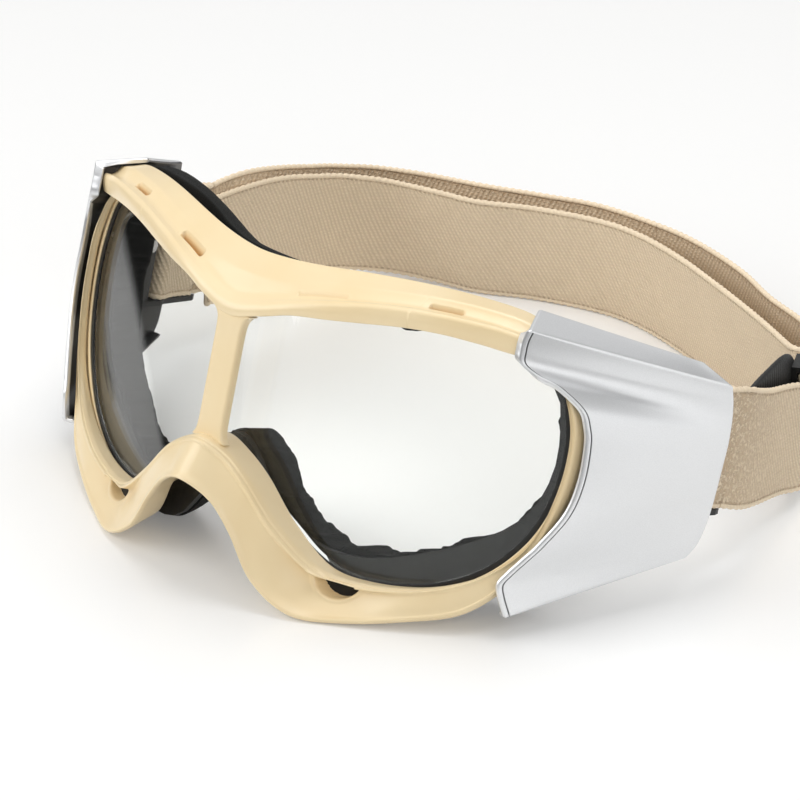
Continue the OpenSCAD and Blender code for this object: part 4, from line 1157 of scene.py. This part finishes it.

# %% [markdown]
# ## Webbing finish
# The webbing is knitted elastic: fine slanting ribs on its outer face, looser loops where it comes out of
# the cover, and a lattice of small cells on its inner face. The hems are oversewn, with a row of stitch holes
# beside them. The colour carries painted shade: it darkens in the valleys of the weave, most between the
# loops by the cover, and in the stitch holes; the overlock's zigzag and the inner layer's seam darken it too.
# All of that follows the strap's own UV map, in millimetres, and the inner face is told from the outer one
# by an offset of 200 in the map.

# %% Webbing finish
def webbing_finish(name, light, dark, boucle, zigzag, seam_at=None):
    """Ribs, cells, hems and stitches from the place along (s) and across (v) the strap."""
    f = Finish(name, light, 0.9, Sheen_Weight=0.12, Sheen_Roughness=0.45)
    f.shader.inputs["Specular IOR Level"].default_value = 0.25
    parts = f.add("ShaderNodeSeparateXYZ")
    f.join(parts.inputs[0], f.add("ShaderNodeUVMap", uv_map="place").outputs[0])
    s, raw = parts.outputs[0], parts.outputs[1]
    inside = f.math("LESS_THAN", raw, -MAP_INSIDE / 2)
    v = f.math("MULTIPLY_ADD", inside, float(MAP_INSIDE), raw)
    wobble = f.noise(0.9, 2)
    from_edge = f.math("SUBTRACT", MAP_HALF, f.math("ABSOLUTE", v))
    hem = f.span(from_edge, HEM - 0.4, HEM, 1.0, 0.0)

    def wave(a, b, extra=0.0):
        """Sine from 0 to 1 of a turns to the millimetre along and b across, bent a little by noise."""
        turns = f.math("MULTIPLY_ADD", s, a, f.math("MULTIPLY_ADD", v, b, f.times(wobble, extra)))
        return f.math("MULTIPLY_ADD", f.math("SINE", f.times(turns, 2 * math.pi)), 0.5, 0.5)

    def shared(share, under, over):
        """under where share is 0 and over where it is 1."""
        return f.math("ADD", f.times(under, f.rest(share)), f.times(over, share))

    ribs = f.times(wave(0.66, 0.40, 0.4), f.math("MULTIPLY_ADD", wave(-0.14, 0.92, 0.35), 0.55, 0.45))
    cells = f.times(wave(0.62, 0.34, 0.3), f.math("MULTIPLY_ADD", wave(-0.12, 0.80, 0.3), 0.65, 0.35))
    loops = f.span(f.noise(0.95, 2, rough=0.7), 0.46, 0.60, 0.0, 1.0)
    near = f.span(s, 40.0, 84.0, boucle, 0.0)
    weave = shared(near, shared(inside, ribs, cells), loops)
    rolled = f.math("MULTIPLY_ADD", wave(1 / STITCH * 2, 0.33, 0.15), 0.18, 0.82)
    height = shared(hem, weave, rolled)
    row = f.span(f.math("ABSOLUTE", f.math("SUBTRACT", from_edge, HEM + 0.1)), 0.1, 0.4, 1.0, 0.0)
    holes = f.times(row, f.span(wave(1 / 1.7, 0.0), 0.35, 0.75, 0.3, 1.0))
    tooth = f.math("MULTIPLY_ADD", f.math("PINGPONG", s, 1.15), 1.5, HEM + 0.15)
    teeth = f.span(f.math("SUBTRACT", tooth, from_edge), -0.1, 0.25, 0.0, 1.0)
    holes = f.math("MAXIMUM", holes, f.times(teeth, f.rest(hem), inside, zigzag, 0.8))
    # painted shade: the colour falls towards the dark yarn colour in the weave's valleys, most between the loops
    # near the cover, and in the stitch holes
    low = f.math("MULTIPLY_ADD", near, -0.42, 0.42)
    shade = f.math("MULTIPLY_ADD", height, f.rest(low), low)
    shade = f.math("MULTIPLY_ADD", holes, -0.75, shade, clamp=True)
    tone = f.mix(f.span(f.noise(0.06, 3), 0.3, 0.7, 0.0, 0.35), light, tuple(c * 0.9 for c in light))
    colour = f.mix(shade, dark, tone)
    depth = f.math("MULTIPLY_ADD", holes, -0.8, height)
    if seam_at is not None:
        seam = f.span(f.math("ABSOLUTE", f.math("SUBTRACT", s, seam_at)), 0.15, 0.6, 1.0, 0.0)
        colour = f.mix(f.times(seam, 0.7), colour, dark)
        depth = f.math("SUBTRACT", depth, seam)
    fuzz = f.noise(5, 3, rough=0.7)
    f.put(Base_Color=colour, Normal=f.bump(fuzz, 0.10, 0.6, under=f.bump(depth, 0.42, 0.85)))
    return f


OUTER_YARN, INNER_YARN, WEAVE_SHADE_AND_SEAM = (0.97, 0.81, 0.6), (0.95, 0.79, 0.58), (0.66, 0.5, 0.335)
outer_weave = webbing_finish("webbing_outer", OUTER_YARN, WEAVE_SHADE_AND_SEAM, 0.95, 1.0)
inner_weave = webbing_finish("webbing_inner", INNER_YARN, WEAVE_SHADE_AND_SEAM, 0.0, 0.0, seam_at=float(inner_s[-1]) - 13)
left_weave = webbing_finish("webbing_left", OUTER_YARN, WEAVE_SHADE_AND_SEAM, 0.0, 1.0)
for piece, weave, word, k in ((strap_right, outer_weave, "right", 0), (strap_left, left_weave, "left", 1)):
    piece.data.materials.append(weave.material)
    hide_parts(f"strap_end_{word}", "strap_outer")
    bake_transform(piece)
dress(strap_in, inner_weave, "frame", "webbing", "strap_inner")


# %% [markdown]
# ## The slider's pad
# At its right edge the photograph shows part of a black ribbed piece inside the strap. It is taken as a
# pad on the slider's inner side that reaches forward. It is a flat rounded bar carried along a curve; fine
# upright ribs come from a wave in its thickness. When the right cover swings out, the strap would push this
# soft piece aside, and shortening it towards the slider stands in for that.

# %% Slider pad
PAD_T, SLIDER_WALL, GAP = 1.8, 1.6, 0.3
RIB_H, RIB_W = 0.16, 1.5
PAD_SEAT = LAYER_STEP / 2 + (LAYER_STEP + STRAP_T + 3 * GAP) / 2 + SLIDER_WALL + 0.05 + PAD_T / 2
PAD_SPOTS = [slider_spot(4, PAD_SEAT) + [0, 0, 1], slider_spot(-4, PAD_SEAT) + [0, 0, 5.4], [92.2, 128.5, 28.2],
             [95.2, 119.5, 29.2], [97.6, 109, 30], [99.2, 99.5, 31]]
PAD_WIDTHS = [30, 33.4, 34.2, 33.6, 30, 20]


def make_pad(finish):
    """A bar of rounded section: height from PAD_WIDTHS, ribs RIB_W wide in its thickness."""
    fine = curve(PAD_SPOTS, np.linspace(0, 1, 600), mirrored=False)
    path, s = walk(fine, 0.25)
    u = s / s[-1]
    even = np.linspace(0, 1, 600)
    high = np.interp(u, even, curve([[w] for w in PAD_WIDTHS], even, mirrored=False)[:, 0])
    ends = np.sqrt(np.clip(1 - np.clip(1 - np.minimum(s, s[-1] - s) / 3, 0, 1) ** 2, 0.02, 1))
    high = high * (0.82 + 0.18 * ends) / 2
    d = unit(np.gradient(path, axis=0) * [1, 1, 0])
    n = np.stack([d[:, 1], -d[:, 0], 0 * d[:, 0]], -1)
    v = np.sin(np.linspace(-math.pi / 2, math.pi / 2, 34))
    from_edge = (1 - np.abs(v))[None, :] * high[:, None]
    rib = RIB_H * np.abs(np.sin(np.pi * s / RIB_W))[:, None] * smooth(from_edge, 0.8, 2.2)
    thick = (PAD_T / 2 - RIB_H + rib) * edge_round(from_edge) * (0.35 + 0.65 * ends[:, None])
    up = np.array([0, 0, 1.0]) * (v[None, :] * high[:, None])[..., None]
    front = path[:, None] + up + n[:, None] * thick[..., None]
    back = path[:, None] + up - n[:, None] * thick[..., None]
    piece = tube("slider_pad_ribbed", floor_mm(np.concatenate([front, back[:, ::-1]], 1)))
    return dress(piece, finish, "slider", "pad_rubber", "slider_pad")


pad_rubber = Finish("pad_rubber", (0.012, 0.012, 0.012), 0.6)
pad_tones = [(0.3, (0.010, 0.010, 0.010)), (0.8, (0.02, 0.02, 0.019))]
pad_rubber.put(Base_Color=pad_rubber.ramp(pad_rubber.noise(0.6, 3), pad_tones),
               Roughness=pad_rubber.span(pad_rubber.noise(2, 2), 0.3, 0.7, 0.5, 0.7),
               Normal=pad_rubber.bump(pad_rubber.noise(4, 2), 0.03, 0.6))
pad = make_pad(pad_rubber)
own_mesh(pad)

# %% [markdown]
# ## Floor, air and lamps
# The goggles lie on a glossy white board in a white studio. The floor is a wide disc that is white to the
# camera but keeps its shadows. Three soft lamps hang above, in front on the left, and on the right. Some
# parts of the floor are darker to reflected rays alone: the far part, a flag on the right and one on the
# left. They shape the reflections in the lens and the metal, and no other ray meets them.

# %% Floor
FLOOR_GLOW, FLOOR_CORNERS, FLOOR_REACH, FLOOR_Z = 0.14, 64, 6, -0.0002


def make_floor():
    """A wide flat disc just under z = 0."""
    a = np.linspace(0, 2 * math.pi, FLOOR_CORNERS + 1)[:-1]
    edge = np.stack([FLOOR_REACH * np.cos(a), FLOOR_REACH * np.sin(a), np.full(FLOOR_CORNERS, FLOOR_Z)], -1)
    verts = np.vstack([[0, 0, FLOOR_Z], edge])
    mesh = bpy.data.meshes.new("studio_floor")
    mesh.from_pydata(verts.tolist(), [], [(0, k + 1, (k + 1) % FLOOR_CORNERS + 1) for k in range(FLOOR_CORNERS)])
    floor = bpy.data.objects.new("studio_floor", mesh)
    bpy.context.scene.collection.objects.link(floor)
    mesh.materials.append(floor_finish().material)


def floor_finish():
    """White board that glows a little for camera, mirrored and transmitted rays; flags for mirrored rays alone."""
    f = Finish("studio_board", (0.86, 0.86, 0.855), 0.28)
    f.shader.inputs["Specular IOR Level"].default_value = 0.35
    rays = f.add("ShaderNodeLightPath").outputs
    mirror = rays["Is Glossy Ray"]
    seen = f.math("MAXIMUM", rays["Is Camera Ray"], f.math("MAXIMUM", mirror, rays["Is Transmission Ray"]))
    f.shader.inputs["Emission Color"].default_value = (1.0, 1.0, 0.995, 1)
    f.put(Emission_Strength=f.times(seen, FLOOR_GLOW))
    parts = f.add("ShaderNodeSeparateXYZ")
    f.join(parts.inputs[0], f.mm)
    x, y = parts.outputs[0], parts.outputs[1]
    reach = f.math("SQRT", f.math("ADD", f.times(x, x), f.times(y, y)))
    behind_right = f.times(x, f.span(y, -20, 20, 0.0, 1.0))
    far = f.times(f.span(reach, 300, 460, 0.0, 1.0), f.span(behind_right, 150, 200, 1.0, 0.0))
    right_flag = f.times(f.span(x, 225, 265, 0.0, 1.0), f.span(y, -30, 0, 1.0, 0.0))
    edge_y = f.math("MULTIPLY_ADD", f.math("ADD", x, 134.0), -0.206, -116.0)
    before_edge = f.span(f.math("SUBTRACT", edge_y, y), -4, 4, 0.0, 1.0)
    left_flag = f.times(before_edge, f.span(x, -112, -104, 1.0, 0.0))
    shown = f.shader.outputs[0]
    for share, grey in ((far, 0.38), (right_flag, 0.04), (left_flag, 0.015)):
        other = f.add("ShaderNodeEmission")
        other.inputs["Color"].default_value = (grey, grey, grey, 1)
        shown = f.mix_shader(f.times(share, mirror), shown, other.outputs[0])
    f.surface(shown)
    return f


make_floor()

# %% [markdown]
# The world gives a dim even light, so that colours stay true, and is white to the camera and through the
# lens. In reflections it is a studio: grey walls that darken towards the front, a bright patch on the
# right, a card on the left and a bright ceiling.

# %% World and lamps
AIR_LIGHT, KEY_LIGHT, SIDE_LIGHT, FRONT_LIGHT = 0.38, 6.4, 1.8, 6.0


def make_world():
    """White for the camera and through the lens, a grey studio in reflections, AIR_LIGHT as a light."""
    world = bpy.data.worlds.new("studio_air")
    bpy.context.scene.world = world
    world.use_nodes = True
    w = Nodes(world.node_tree)

    def background(colour, strength):
        node = w.add("ShaderNodeBackground")
        w.join(node.inputs[0], (*colour, 1))
        w.join(node.inputs[1], strength)
        return node.outputs[0]

    parts, rays = w.add("ShaderNodeSeparateXYZ"), w.add("ShaderNodeLightPath").outputs
    w.join(parts.inputs[0], w.add("ShaderNodeTexCoord").outputs["Generated"])
    x, y, z = parts.outputs
    left_or_low = w.math("MAXIMUM", w.span(x, -0.2, 0.35, 1.0, 0.30), w.span(z, 0.05, 0.3, 1.0, 0.0))
    walls = w.times(w.span(y, -0.75, 0.1, 0.06, 0.52), left_or_low)
    right = w.times(w.span(x, 0.45, 0.8, 0.0, 1.2), w.span(y, -0.6, -0.2, 0.0, 1.0), w.span(z, 0.5, 0.72, 1.0, 0.0))
    card = w.times(w.span(x, -0.17, -0.14, 0.25, 0.0), w.span(y, -0.7, -0.6, 1.0, 0.0))
    ceiling = w.span(z, 0.76, 0.9, 0.0, 1.6)
    mirrored = w.math("MAXIMUM", w.math("MAXIMUM", walls, card), w.math("MAXIMUM", right, ceiling))
    seen = w.math("MAXIMUM", rays["Is Camera Ray"], rays["Is Transmission Ray"])
    air = background((1, 0.995, 0.985), AIR_LIGHT)
    air = w.mix_shader(rays["Is Glossy Ray"], air, background((1, 1, 1), mirrored))
    air = w.mix_shader(seen, air, background((1, 1, 1), 1.0))
    w.join(w.tree.nodes["World Output"].inputs[0], air)


def lamp(name, place, aim, size, watts):
    """A square area lamp at place, turned to face aim."""
    data = bpy.data.lights.new(name, "AREA")
    data.size, data.energy = size, watts
    lamp_object = bpy.data.objects.new(name, data)
    bpy.context.scene.collection.objects.link(lamp_object)
    lamp_object.location = place
    lamp_object.rotation_euler = (Vector(aim) - Vector(place)).to_track_quat("-Z", "Y").to_euler()


make_world()
lamp("key_lamp", (0.05, 0.28, 1.1), (0, 0, 0.03), 0.8, KEY_LIGHT)
lamp("front_lamp", (-0.6, -0.75, 0.55), (0, -0.02, 0.03), 0.9, FRONT_LIGHT)
lamp("side_lamp", (0.85, -0.5, 0.5), (0.05, 0, 0.03), 0.5, SIDE_LIGHT)
bpy.context.scene.view_settings.view_transform = "Standard"
